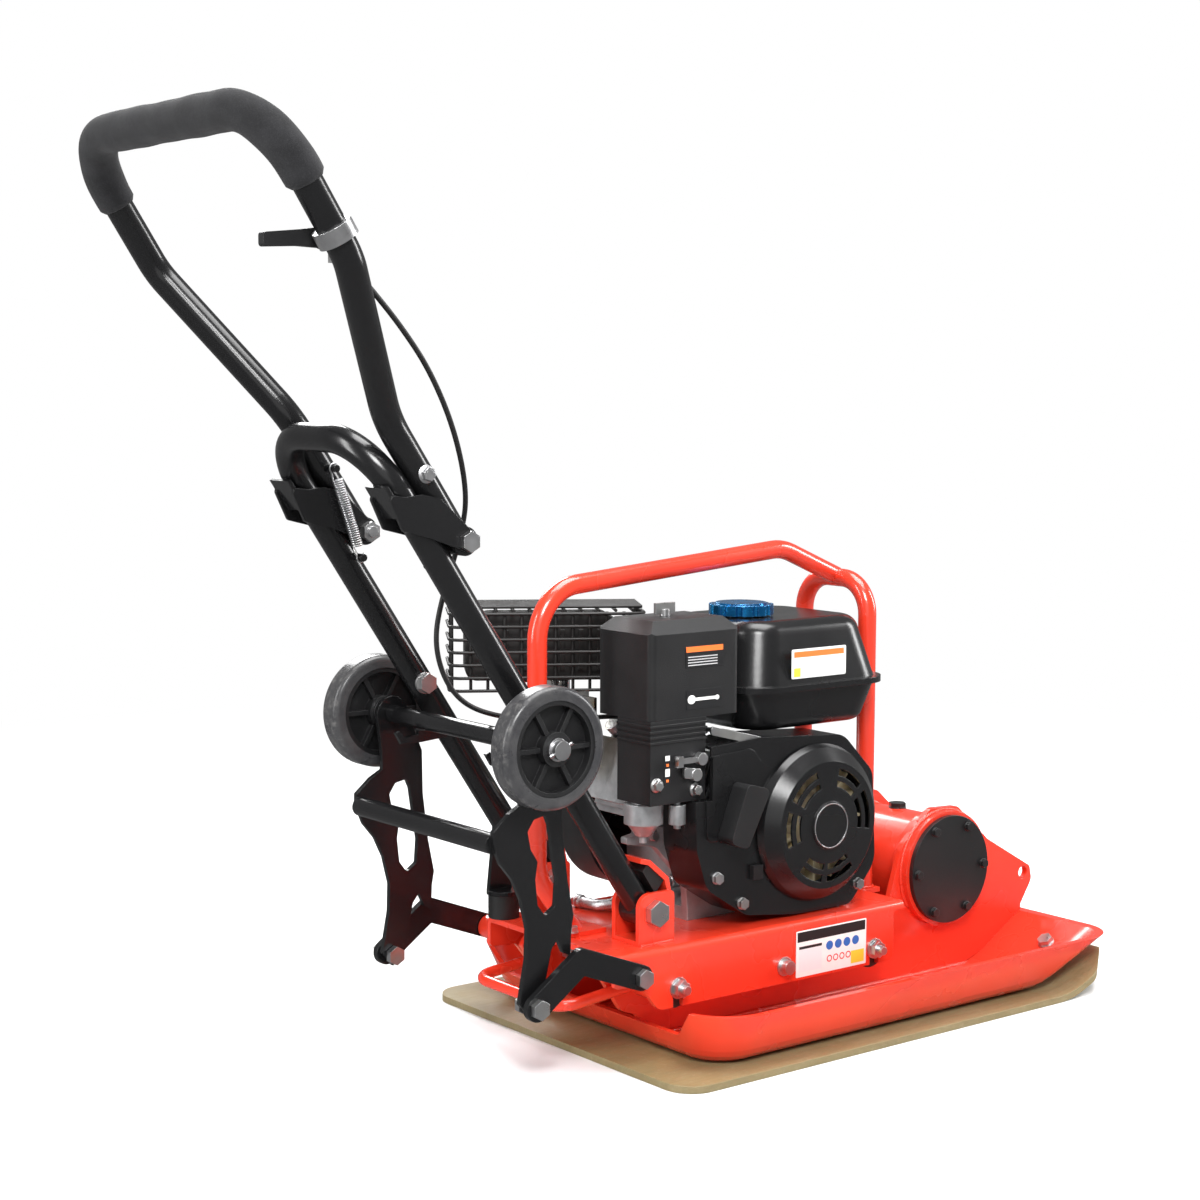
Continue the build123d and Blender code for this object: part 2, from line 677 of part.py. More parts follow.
def make_engine_hardware():
    hardware = []
    for x, z in ((-122, 152), (-160, 186), (60, 150)):
        hardware.append(bolt((x, BLOWER_FACE, z + 6), (0, -1, 0), 3, 3.5))
    for x, y in ((-140, -46), (86, -46), (-140, 56), (86, 56)):
        hardware.append(bolt((x, y, 146), (0, 0, 1), 21, 5))
    bar = plate_y(((-166, 364), (-84, 343), (-84, 333), (-166, 354)), -114, -111, 4)
    hardware.append(bar)
    hardware.append(rod((-146, -60, 326), (-146, -60, 360), 4) + cylinder_z(8, 344, 351.8, -146, -60))
    hardware.append(bolt((-204, CASE_NEAR, 236), (0, -1, 0), 8, 3))
    return hardware


def make_drain_hose():
    points = ((-118.2, 0, 163), (-152, 0, 162), (-184, 6, 147), (-209, 30, 139), (-214, 72, 139))
    return bent_tube(points, [40, 36, 36], 6.5)


def make_dipstick():
    dip = rod((84, 70, 176), (112, 70, 190), 9) + rod((112, 70, 190), (118, 70, 193), 13)
    return dip


# Handle

def make_lower_handle():
    near = (PIVOT[0], -LEG_Y, PIVOT[1])
    far = (PIVOT[0], LEG_Y, PIVOT[1])
    loop = (near, (CROWN[0], -LEG_Y, CROWN[1]), (CROWN[0], LEG_Y, CROWN[1]), far)
    handle = bent_tube(loop, 70, LEG_RADIUS, 12)
    channel = (
        (-589, 633), (-571, 596), (-539, 588), (-490, 571),
        (-481, 587), (-498, 602), (-526, 627), (-548, 632),
        (-568, 630),
    )
    web = (across_leg(545, -19), across_leg(583, -19), across_leg(583, -14.5), across_leg(545, -14.5))
    hook = (
        across_leg(236, -10), (-424, 358), (-424, 354), (-441, 352), (-449, 360), (-454, 358), (-446, 345),
        (-420, 345), across_leg(226, -10),
    )
    for side in (-1, 1):
        handle += cylinder_y(18, side * LEG_Y - 17, side * LEG_Y + 17, *PIVOT)
        handle -= cylinder_y(8.1, side * LEG_Y - 18, side * LEG_Y + 18, *PIVOT)
        for a, b in ((75.3, 79.5), (110.5, 114.7)):
            cheek = plate_y(channel, min(side * a, side * b), max(side * a, side * b), 5)
            handle += cheek - cylinder_y(6.1, -120, 120, *FOLD)
        handle += plate_y(web, min(side * 76, side * 114), max(side * 76, side * 114))
        handle += plate_y(hook, min(side * 84, side * 89), max(side * 84, side * 89))
        handle += cylinder_y(4, min(side * 60, side * 82), max(side * 60, side * 82), *LOWER_STUD)
    return handle + make_rest_saddle()


def make_rest_saddle():
    """The saddle under the far leg that comes down on the rear rubber buffer."""
    saddle = cylinder_z(20, 158.3, 163, -308, 84)
    gusset = ((-324, 162), (-292, 162), across_leg(70, -13), across_leg(98, -13))
    return saddle + plate_y(gusset, 90, 96)


def pivot_bolt(x, z, y0, y1, radius):
    """A through bolt along Y: head at y0, nut and thread end at y1."""
    side = 1 if y1 > y0 else -1
    through = rod((x, y0, z), (x, y1 + side * 12, z), radius)
    through += hexagon(radius * 3.2, (x, y0, z), (0, -side, 0), radius * 1.2)
    return through + hexagon(radius * 3.2, (x, y1, z), (0, side, 0), radius * 1.5)


def make_pivot_bolts():
    bolts = both_sides(pivot_bolt(*PIVOT, -119, -71, 8))
    x, z = LINK_PIVOT
    for side, flange, end in ((-1, NEAR_FLANGE, -134), (1, 140, 120)):
        pin = rod((x, end, z), (x, flange + side * 9.5, z), 6)
        bolts.append(pin + hexagon(19, (x, flange + side * 9.5, z), (0, side, 0), 7))
    return bolts


def make_fold_bolts():
    return both_sides(pivot_bolt(*FOLD, -114.7, -75.3, 6)) + [bolt((-419, 80, 412), (0, -1, 0), 6, 6)]


def upper_loop(points):
    return [(x, -y, z) for x, y, z in points] + [(x, y, z) for x, y, z in reversed(points)]


def make_upper_handle():
    side = [(FOLD[0], LEG_Y, FOLD[1]), (UPPER_KNEE[0], LEG_Y, UPPER_KNEE[1]),
            (UPPER_WIDE[0], GRIP_Y, UPPER_WIDE[1]), (GRIP_BAR[0], GRIP_Y, GRIP_BAR[1])]
    handle = bent_tube(upper_loop(side), [90, 60, 70, 70, 60, 90], LEG_RADIUS, 12)
    for sign in (-1, 1):
        handle += cylinder_y(LEG_RADIUS, sign * LEG_Y - 15, sign * LEG_Y + 15, *FOLD)
        handle -= cylinder_y(6.1, sign * LEG_Y - 16, sign * LEG_Y + 16, *FOLD)
        handle += cylinder_y(4, min(sign * 60, sign * 81), max(sign * 60, sign * 81), *UPPER_STUD)
    return handle


def make_foam_grip():
    side = [(GRIP_END[0], GRIP_Y, GRIP_END[1]), (GRIP_BAR[0], GRIP_Y, GRIP_BAR[1])]
    return bent_tube(upper_loop(side), 70, GRIP_RADIUS, LEG_RADIUS)


def make_tension_spring():
    x0, z0 = LOWER_STUD
    x1, z1 = UPPER_STUD
    along = Vector(x1 - x0, 0, z1 - z0)
    start = Vector(x0, SPRING_Y, z0) + along * 0.09
    end = Vector(x0, SPRING_Y, z0) + along * 0.91
    spring = rod(start, end, 6.5)
    for centre, reach in ((Vector(x0, SPRING_Y, z0), start), (Vector(x1, SPRING_Y, z1), end)):
        eye = cylinder_y(6.5, SPRING_Y - 1, SPRING_Y + 1, centre.X, centre.Z)
        hole = cylinder_y(4.3, SPRING_Y - 2, SPRING_Y + 2, centre.X, centre.Z)
        spring += eye + rod(centre, reach, 1.5) - hole
    return spring


def make_throttle_clamp():
    dx = GRIP_BAR[0] - UPPER_WIDE[0]
    dz = GRIP_BAR[1] - UPPER_WIDE[1]
    length = math.hypot(dx, dz)
    centre = Vector(UPPER_WIDE[0] + dx / length * 26, -GRIP_Y, UPPER_WIDE[1] + dz / length * 26)
    along = Vector(dx / length, 0, dz / length)
    band = rod(centre - along * 8, centre + along * 8, 20)
    band -= rod(centre - along * 9, centre + along * 9, LEG_RADIUS)
    x, y, z = THROTTLE
    ears = rod((x, -173, z), (x, y - 5.4, z), 13)
    ears -= rod(centre - along * 40, centre + along * 40, LEG_RADIUS)
    pin = rod((x, y - 6, z), (x, y + 9, z), 4)
    holder = block(-684, -666, -173, -163, 853, 863)
    return band + ears + pin + (holder - rod(centre - along * 60, centre + along * 40, LEG_RADIUS))


def make_throttle_lever():
    x, y, z = THROTTLE
    hub = cylinder_y(11, y - 5, y + 5, x, z)
    arm = ((x, z + 10), (x - 28, z + 6), (x - 66, z + 2), (x - 66, z - 11), (x - 28, z - 9), (x, z - 10))
    return hub + plate_y(arm, y - 5, y + 5, 3) - cylinder_y(4.1, y - 6, y + 6, x, z)


def arc_radii(points):
    """The largest arc that two runs leave room for, at each inner point of a cord's route."""
    radii = []
    for before, here, after in zip(points, points[1:], points[2:]):
        first = Vector(here) - Vector(before)
        second = Vector(after) - Vector(here)
        half_turn = math.radians(first.get_angle(second)) / 2
        radii.append(0.45 * min(first.length, second.length) / math.tan(half_turn))
    return radii


def make_cable(name, points):
    radii = arc_radii(points)
    print(name, "arc radii", [round(r) for r in radii])
    return bent_tube(points, radii, CABLE_RADIUS)


# Transport wheels

def make_link_arms():
    knee = (-372, 137)
    arm = capsule_y(WHEEL_PIVOT, knee, 14, -149, -141) + capsule_y(knee, LINK_PIVOT, 14, -149, -141)
    arm -= cylinder_y(6.1, -150, -140, *LINK_PIVOT)
    arm -= cylinder_y(6, -150, -140, *WHEEL_PIVOT)
    return both_sides(arm)


def make_kit_bolts():
    x, z = WHEEL_PIVOT
    pin = rod((x, -125, z), (x, -149, z), 6) + hexagon(19, (x, -149, z), (0, -1, 0), 7)
    return both_sides(pin + hexagon(19, (x, -120, z), (0, -1, 0), 7.8))


def make_wheel_frame():
    x, z = AXLE
    plate = (
        (-443, 327), (-443, 310), (-458, 302), (-477, 286), (-477, 273), (-468, 251),
        (-453, 233), (-442, 210),
        (-434, 178), (-435, 146), (-444, 100), (-430, 83), (-416, 98), (-403, 152), (-395, 162), (-387, 146),
        (-378, 142), (-377, 169), (-374, 185), (-382, 223), (-389, 278),
        (-390, 327), (x + 20, z), (x - 20, z),
    )
    slot = (
        (-411, 296), (-426, 293), (-434, 281), (-430, 262), (-421, 248), (-424, 229), (-421, 202),
        (-411, 189), (-398, 198), (-396, 225), (-402, 258), (-406, 285),
    )
    side = plate_y(plate, -135, -129) + cylinder_y(20, -135, -129, x, z)
    side -= plate_y(slot, -136, -128, 4)
    side -= cylinder_y(6.1, -136, -128, *WHEEL_PIVOT)
    frame = side + mirror(side, about=Plane.XZ)
    frame += cylinder_y(11, -129, 129, -472, 272)
    return frame - cylinder_y(AXLE_RADIUS, -140, 140, x, z)


def make_axle():
    x, z = AXLE
    axle = cylinder_y(AXLE_RADIUS, -189, 189, x, z)
    for side in (-1, 1):
        for a, b, radius in ((135, 146.6, 14), (179.4, 181.4, 12)):
            axle += cylinder_y(radius, min(side * a, side * b), max(side * a, side * b), x, z)
        axle += rod((x - 14, side * 185, z - 6), (x + 14, side * 185, z + 6), 1.8)
    return axle


def make_hub(side):
    x, z = AXLE
    y0 = min(side * WHEEL_Y[0], side * WHEEL_Y[1])
    y1 = y0 + WHEEL_Y[1] - WHEEL_Y[0]
    rim = cylinder_y(50, y0 + 2, y1 - 2, x, z) - cylinder_y(45, y0 + 2, y1 - 2, x, z)
    hub = rim + cylinder_y(46, y0 + 12, y1 - 12, x, z) + cylinder_y(18, y0, y1, x, z)
    for k in range(6):
        rib = block(x + 10, x + 47, y0 + 5, y1 - 5, z - 2.5, z + 2.5)
        hub += rib.rotate(Axis((x, 0, z), (0, 1, 0)), 60 * k)
    return hub - cylinder_y(AXLE_RADIUS + 0.06, y0 - 1, y1 + 1, x, z)


def make_tyre(side):
    x, z = AXLE
    y0 = min(side * WHEEL_Y[0], side * WHEEL_Y[1])
    y1 = y0 + WHEEL_Y[1] - WHEEL_Y[0]
    tyre = cylinder_y(WHEEL_RADIUS, y0 + 1, y1 - 1, x, z)
    tyre = fillet(tyre.edges(), 7)
    return tyre - cylinder_y(50, y0, y1, x, z)


def build_nodes():
    nodes = {}
    bolts = make_base_bolts()
    tray = make_base_plate()
    ribs = make_side_ribs(tray)
    nodes["paving_pad"] = make_paving_pad() - bolts
    nodes["base_plate"] = tray - bolts
    nodes["side_ribs"] = ribs - bolts
    nodes["base_bolts"] = bolts

    exciter_bolts = make_exciter_bolts()
    nodes["exciter_housing"] = make_exciter_housing() - exciter_bolts
    nodes["exciter_covers"] = [cover - exciter_bolts for cover in make_exciter_covers()]
    nodes["exciter_bolts"] = exciter_bolts
    nodes["exciter_bearings"] = make_exciter_bearings()
    nodes["eccentric_shaft"] = make_eccentric_shaft()
    nodes["exciter_pulley"] = make_pulley(EXCITER, EXCITER_PITCH, 15)
    nodes["clutch_pulley"] = make_pulley(CRANK, ENGINE_PITCH, CRANK_RADIUS)
    nodes["v_belt"] = make_v_belt()
    nodes["belt_guard"] = make_belt_guard()

    pivots = make_pivot_bolts()
    hardware = make_engine_hardware()
    brackets = make_handle_brackets()
    nodes["engine_deck"] = make_engine_deck() - bolts - pivots - hardware
    nodes["isolators"] = make_isolators()
    nodes["handle_brackets"] = [bracket - make_engine_deck() for bracket in brackets]
    nodes["handle_stops"] = make_handle_stops()
    nodes["lifting_frame"] = make_lifting_frame() - bolts
    nodes["pivot_bolts"] = pivots

    head, plug = make_cylinder_head()
    nodes["crankcase"] = make_crankcase() - hardware
    nodes["cylinder_head"] = [head, plug - head]
    nodes["valve_cover"] = make_valve_cover() - plug
    nodes["blower_housing"] = make_blower_housing() - hardware
    nodes["recoil_cover"] = make_recoil_cover()
    nodes["starter_grip"] = make_starter_grip() - make_recoil_cover()
    nodes["engine_switch"] = make_engine_switch() - make_recoil_cover()
    nodes["flywheel_fan"] = make_flywheel_fan()
    nodes["crankshaft"] = make_crankshaft()
    nodes["fuel_tank"] = make_fuel_tank()
    nodes["fuel_cap"] = make_fuel_cap()
    nodes["air_filter_base"] = make_air_filter_base()
    nodes["air_filter_cover"] = make_air_filter_cover()
    nodes["filter_nut"] = make_filter_nut()
    nodes["carburetor"] = list(make_carburetor())
    nodes["choke_lever"] = make_choke_lever()
    nodes["fuel_lever"] = make_fuel_lever()
    nodes["governor_lever"] = make_governor_lever()
    nodes["muffler"] = make_muffler()
    nodes["muffler_guard"] = make_muffler_guard()
    nodes["exhaust_manifold"] = list(make_exhaust_manifold())
    nodes["engine_hardware"] = hardware
    nodes["drain_hose"] = make_drain_hose()
    nodes["dipstick"] = make_dipstick() - nodes["crankcase"]

    fold_bolts = make_fold_bolts()
    nodes["lower_handle"] = make_lower_handle() - fold_bolts
    nodes["fold_bolts"] = fold_bolts
    nodes["upper_handle"] = make_upper_handle()
    nodes["foam_grip"] = make_foam_grip()
    nodes["tension_springs"] = both_sides(make_tension_spring())
    upper_cable = make_cable("throttle_cable_upper", UPPER_CABLE)
    nodes["throttle_clamp"] = make_throttle_clamp() - nodes["upper_handle"] - upper_cable
    nodes["throttle_lever"] = make_throttle_lever()
    nodes["throttle_cable_upper"] = upper_cable
    nodes["throttle_cable_lower"] = make_cable("throttle_cable_lower", LOWER_CABLE)

    nodes["link_arms"] = make_link_arms()
    nodes["kit_bolts"] = make_kit_bolts()
    nodes["wheel_frame"] = make_wheel_frame()
    nodes["axle"] = make_axle()
    for name, side in (("right", -1), ("left", 1)):
        nodes[f"wheel_{name}_hub"] = make_hub(side)
        nodes[f"wheel_{name}_tyre"] = make_tyre(side)
    return nodes


def solids_of(shape):
    shapes = shape if isinstance(shape, (list, tuple, ShapeList)) else [shape]
    return [solid for item in shapes for solid in item.solids()]


os.makedirs("parts", exist_ok=True)
for node, shape in build_nodes().items():
    export_step(Compound(solids_of(shape)), f"parts/{node}.step")
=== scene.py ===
import json
import math
import random

import bpy
from mathutils import Matrix, Vector

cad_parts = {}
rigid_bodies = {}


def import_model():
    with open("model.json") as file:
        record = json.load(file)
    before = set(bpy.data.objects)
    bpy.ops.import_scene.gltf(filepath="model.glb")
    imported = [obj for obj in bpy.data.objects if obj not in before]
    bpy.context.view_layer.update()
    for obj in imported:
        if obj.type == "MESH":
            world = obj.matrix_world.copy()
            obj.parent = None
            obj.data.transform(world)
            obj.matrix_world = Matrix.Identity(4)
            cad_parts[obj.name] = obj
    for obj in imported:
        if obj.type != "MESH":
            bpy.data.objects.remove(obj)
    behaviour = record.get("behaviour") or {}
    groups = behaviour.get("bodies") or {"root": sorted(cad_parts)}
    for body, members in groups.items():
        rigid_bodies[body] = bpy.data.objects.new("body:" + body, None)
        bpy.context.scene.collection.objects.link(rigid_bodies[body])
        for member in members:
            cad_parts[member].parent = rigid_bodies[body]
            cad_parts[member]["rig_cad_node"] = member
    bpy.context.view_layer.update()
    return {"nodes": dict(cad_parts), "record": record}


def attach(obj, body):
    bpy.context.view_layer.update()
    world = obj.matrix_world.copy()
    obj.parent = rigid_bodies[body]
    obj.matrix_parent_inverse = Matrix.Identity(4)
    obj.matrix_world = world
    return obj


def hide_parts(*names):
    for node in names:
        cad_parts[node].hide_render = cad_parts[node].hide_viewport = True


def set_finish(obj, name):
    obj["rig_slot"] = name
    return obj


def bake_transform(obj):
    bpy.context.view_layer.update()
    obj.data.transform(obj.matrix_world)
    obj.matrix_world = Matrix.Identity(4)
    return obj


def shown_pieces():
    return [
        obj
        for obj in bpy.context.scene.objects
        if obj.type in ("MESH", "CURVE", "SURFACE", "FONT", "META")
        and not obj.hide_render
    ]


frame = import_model()
NODES = frame["nodes"]
MM = 0.001
# The centres of three turning parts, as (x, z). Lengths are in metres unless a line says MM.
AXLE = (-0.429, 0.3725)
EXCITER = (0.242, 0.145)
CRANK = (-0.010, 0.238)
AXLE_ENAMEL_TO = 0.1372
TREAD_FROM = 0.0595
# The outer faces on the recoil starter's side, as y, that labels and fittings lie on.
TANK_FACE = -0.1131
FILTER_FACE = -0.1101
DECK_FACE = -0.1403
BADGE_FACE = -0.1455

# ---------------------------------------------------------------- camera
# Solved from the object's own parallel edges. Angles are in radians: AZIMUTH is measured from +Y
# towards +X, FALL is how far the view looks down.

CAMERA_AT = Vector((-1.7600, -1.95113, 0.74256))
AZIMUTH = 0.66353
FALL = 0.09833
ROLL = 0.00366
LENS = 66.28
SHIFT_Y = 0.0011


def make_camera():
    level = math.cos(FALL)
    forward = Vector((math.sin(AZIMUTH) * level, math.cos(AZIMUTH) * level, -math.sin(FALL)))
    right = Vector((math.cos(AZIMUTH), -math.sin(AZIMUTH), 0))
    up = right.cross(forward)
    turned_right = right * math.cos(ROLL) + up * math.sin(ROLL)
    turned_up = up * math.cos(ROLL) - right * math.sin(ROLL)
    data = bpy.data.cameras.new("camera")
    data.lens = LENS
    data.sensor_width = 36
    data.shift_y = SHIFT_Y
    data.clip_end = 100
    camera = bpy.data.objects.new("camera", data)
    axes = Matrix((turned_right, turned_up, -forward)).transposed()
    camera.matrix_world = Matrix.Translation(CAMERA_AT) @ axes.to_4x4()
    bpy.context.scene.collection.objects.link(camera)
    bpy.context.scene.camera = camera


make_camera()

# ---------------------------------------------------------------- mesh helpers


def add_mesh(name, verts, faces, slot, body, uvs=None, sharp=35):
    """A new piece in the row frame. uvs has one (u, v) pair for each corner of each face."""
    mesh = bpy.data.meshes.new(name)
    mesh.from_pydata([tuple(v) for v in verts], [], faces)
    if uvs is not None:
        layer = mesh.uv_layers.new(name="UVMap")
        flat = [c for face in uvs for pair in face for c in pair]
        layer.data.foreach_set("uv", flat)
    mesh.validate()
    mesh.shade_smooth()
    if sharp:
        mesh.set_sharp_from_angle(angle=math.radians(sharp))
    obj = bpy.data.objects.new(name, mesh)
    bpy.context.scene.collection.objects.link(obj)
    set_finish(obj, slot)
    if body:
        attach(obj, body)
    return obj


def spread(parts):
    """Several meshes, each given as verts, faces and uvs, as one."""
    verts, faces, uvs = [], [], []
    for v, f, u in parts:
        base = len(verts)
        verts += list(v)
        faces += [[i + base for i in face] for face in f]
        uvs += u
    return verts, faces, uvs


def frames_along(points):
    """A tangent and two normals at each point, turned as little as the line allows."""
    tangents = []
    for i in range(len(points)):
        a, b = points[max(i - 1, 0)], points[min(i + 1, len(points) - 1)]
        tangents.append((b - a).normalized())
    side = tangents[0].orthogonal().normalized()
    out = []
    for t in tangents:
        side = (side - t * side.dot(t)).normalized()
        out.append((t, side, t.cross(side)))
    return out


def tube(points, radius, sides=16, shape=None):
    """A capped tube. radius is a number or one for each point; shape(along, angle) scales it."""
    points = [Vector(p) for p in points]
    radii = radius if isinstance(radius, (list, tuple)) else [radius] * len(points)
    verts, faces, uvs = [], [], []
    length = 0.0
    lengths = []
    for i, (p, (t, a, b)) in enumerate(zip(points, frames_along(points))):
        if i:
            length += (p - points[i - 1]).length
        lengths.append(length)
        for k in range(sides):
            angle = 2 * math.pi * k / sides
            r = radii[i] * (shape(length, angle) if shape else 1)
            verts.append(p + a * math.cos(angle) * r + b * math.sin(angle) * r)
    for i in range(len(points) - 1):
        for k in range(sides):
            m = (k + 1) % sides
            faces.append([i * sides + k, i * sides + m, (i + 1) * sides + m, (i + 1) * sides + k])
            u0, u1 = k / sides, (k + 1) / sides
            uvs.append([(u0, lengths[i]), (u1, lengths[i]), (u1, lengths[i + 1]), (u0, lengths[i + 1])])
    last = (len(points) - 1) * sides
    faces.append(list(range(sides - 1, -1, -1)))
    uvs.append([(0, 0)] * sides)
    faces.append(list(range(last, last + sides)))
    uvs.append([(0, length)] * sides)
    return verts, faces, uvs


def lathe(profile, centre, axis, sides=48, closed=False):
    """Turns (radius, along) pairs round an axis. A closed profile makes a ring."""
    centre, axis = Vector(centre), Vector(axis).normalized()
    a = axis.orthogonal().normalized()
    b = axis.cross(a)
    verts, faces, uvs = [], [], []
    for r, s in profile:
        for k in range(sides):
            angle = 2 * math.pi * k / sides
            verts.append(centre + axis * s + (a * math.cos(angle) + b * math.sin(angle)) * r)
    rows = len(profile)
    for i in range(rows if closed else rows - 1):
        j = (i + 1) % rows
        for k in range(sides):
            m = (k + 1) % sides
            faces.append([i * sides + k, i * sides + m, j * sides + m, j * sides + k])
            uvs.append([(k / sides, i / rows), ((k + 1) / sides, i / rows),
                        ((k + 1) / sides, (i + 1) / rows), (k / sides, (i + 1) / rows)])
    if not closed:
        faces.append(list(range(sides - 1, -1, -1)))
        uvs.append([(0, 0)] * sides)
        faces.append(list(range((rows - 1) * sides, rows * sides)))
        uvs.append([(0, 0)] * sides)
    return verts, faces, uvs


def rounded_outline(width, height, radius, steps=6):
    """The corners of a rounded rectangle centred on the origin, as (u, v) pairs, anticlockwise."""
    out = []
    for k, (sx, sy) in enumerate(((1, 1), (-1, 1), (-1, -1), (1, -1))):
        cx, cy = sx * (width / 2 - radius), sy * (height / 2 - radius)
        for i in range(steps + 1):
            angle = math.pi / 2 * (k + i / steps)
            out.append((cx + radius * math.cos(angle), cy + radius * math.sin(angle)))
    return out


def plate(centre, across, up, width, height, radius, thick):
    """A thin rounded plate, such as a label. It faces across x up, and its UVs run from 0 to 1."""
    centre, across, up = Vector(centre), Vector(across).normalized(), Vector(up).normalized()
    out = across.cross(up).normalized()
    ring = rounded_outline(width, height, radius)
    n = len(ring)
    verts = []
    for grow, s in ((0, 0), (0, thick * 0.6), (-thick * 0.4, thick)):
        for u, v in ring:
            scale_u, scale_v = 1 + 2 * grow / width, 1 + 2 * grow / height
            verts.append(centre + across * u * scale_u + up * v * scale_v + out * s)

    def uv(i):
        u, v = ring[i % n]
        return u / width + 0.5, v / height + 0.5

    faces, uvs = [], []
    for row in range(2):
        for k in range(n):
            m = (k + 1) % n
            faces.append([row * n + k, row * n + m, (row + 1) * n + m, (row + 1) * n + k])
            uvs.append([uv(k), uv(m), uv(m), uv(k)])
    faces.append([2 * n + k for k in range(n)])
    uvs.append([uv(k) for k in range(n)])
    faces.append([k for k in range(n - 1, -1, -1)])
    uvs.append([uv(k) for k in range(n - 1, -1, -1)])
    return verts, faces, uvs


def nurbs_line(points, resolution):
    """The points of a NURBS curve of order 3, from control points in millimetres."""
    curve = bpy.data.curves.new("route", "CURVE")
    curve.dimensions = "3D"
    curve.resolution_u = resolution
    spline = curve.splines.new("NURBS")
    spline.points.add(len(points) - 1)
    for p, co in zip(spline.points, points):
        p.co = (*[c * MM for c in co], 1)
    spline.order_u = 3
    spline.use_endpoint_u = True
    carrier = bpy.data.objects.new("route", curve)
    bpy.context.scene.collection.objects.link(carrier)
    bpy.context.view_layer.update()
    mesh = bpy.data.meshes.new_from_object(carrier)
    line = [v.co.copy() for v in mesh.vertices]
    bpy.data.objects.remove(carrier)
    bpy.data.curves.remove(curve)
    bpy.data.meshes.remove(mesh)
    return line


def bent(points, radii, step=0.004):
    """The centreline of a bent bar: straight runs with an arc at each inner corner."""
    pts = [Vector(p) for p in points]
    out = [pts[0]]
    for i in range(1, len(pts) - 1):
        a = (pts[i - 1] - pts[i]).normalized()
        b = (pts[i + 1] - pts[i]).normalized()
        half = a.angle(b) / 2
        reach = radii[i - 1] / math.tan(half)
        centre = pts[i] + (a + b).normalized() * radii[i - 1] / math.sin(half)
        first, last = pts[i] + a * reach - centre, pts[i] + b * reach - centre
        turn = first.angle(last)
        count = max(6, int(turn * radii[i - 1] / step))
        for k in range(count + 1):
            f = k / count
            arm = first * math.sin((1 - f) * turn) + last * math.sin(f * turn)
            out.append(centre + arm / math.sin(turn))
    out.append(pts[-1])
    return out


def even(points, step):
    """The same line with its points about one step apart."""
    out = [Vector(points[0])]
    for a, b in zip(points, points[1:]):
        count = max(1, round((b - a).length / step))
        out += [a.lerp(b, (k + 1) / count) for k in range(count)]
    return out


def length_of(line):
    return sum((b - a).length for a, b in zip(line, line[1:]))


# ---------------------------------------------------------------- throttle cable

# Control points in millimetres, from the lever down to the hinge and from the hinge to the engine.
CABLE_RADIUS = 2.75 * MM
UPPER_CABLE = (
    (-669, -168, 858), (-638, -163, 831), (-597, -150, 798), (-552, -134, 755), (-508, -112, 696),
    (-478, -90, 634), (-472, -74, 592), (-480, -64, 552),
)
LOWER_CABLE = (
    (-480, -64, 552), (-488, -54, 512), (-492, -51, 472), (-479, -49, 434), (-455, -48, 407),
    (-418, -46, 391), (-362, -45, 380), (-306, -37, 373), (-258, -9, 369), (-205, -4, 366),
    (-158, -6, 358),
)


def make_cable(name, route, node):
    """One half of the throttle cable, laid along its route between two bodies, from start to end."""
    line = nurbs_line(route, 14)
    verts, faces, uvs = tube(line, CABLE_RADIUS, 14)
    cable = add_mesh(name, verts, faces, "black_rubber", None, uvs)
    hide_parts(node)
    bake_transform(cable)
    return line


upper_line = make_cable("throttle_cable_sheath_upper", UPPER_CABLE, "throttle_cable_upper")
lower_line = make_cable("throttle_cable_sheath_lower", LOWER_CABLE, "throttle_cable_lower")


def make_cable_ends():
    """A moulded barrel and a lock nut at the lever, and a crimped ferrule at the engine."""
    start, away = upper_line[0], (upper_line[3] - upper_line[0]).normalized()
    barrel = lathe([(0.0036, 0), (0.0042, 0.001), (0.0042, 0.006), (0.0034, 0.0066),
                    (0.0034, 0.0105), (0.0048, 0.011), (0.0048, 0.0145), (0.0031, 0.015)],
                   start, away, 24)
    add_mesh("cable_adjuster", *barrel[:2], "zinc_steel", "upper_handle", barrel[2])
    stop, back = lower_line[-1], (lower_line[-4] - lower_line[-1]).normalized()
    ferrule = lathe([(0.0034, 0), (0.0038, 0.0007), (0.0038, 0.004), (0.0035, 0.0046),
                     (0.0038, 0.0052), (0.0038, 0.009), (0.0031, 0.0098)], stop, back, 24)
    add_mesh("cable_ferrule", *ferrule[:2], "zinc_steel", "base", ferrule[2])


make_cable_ends()

# ---------------------------------------------------------------- materials


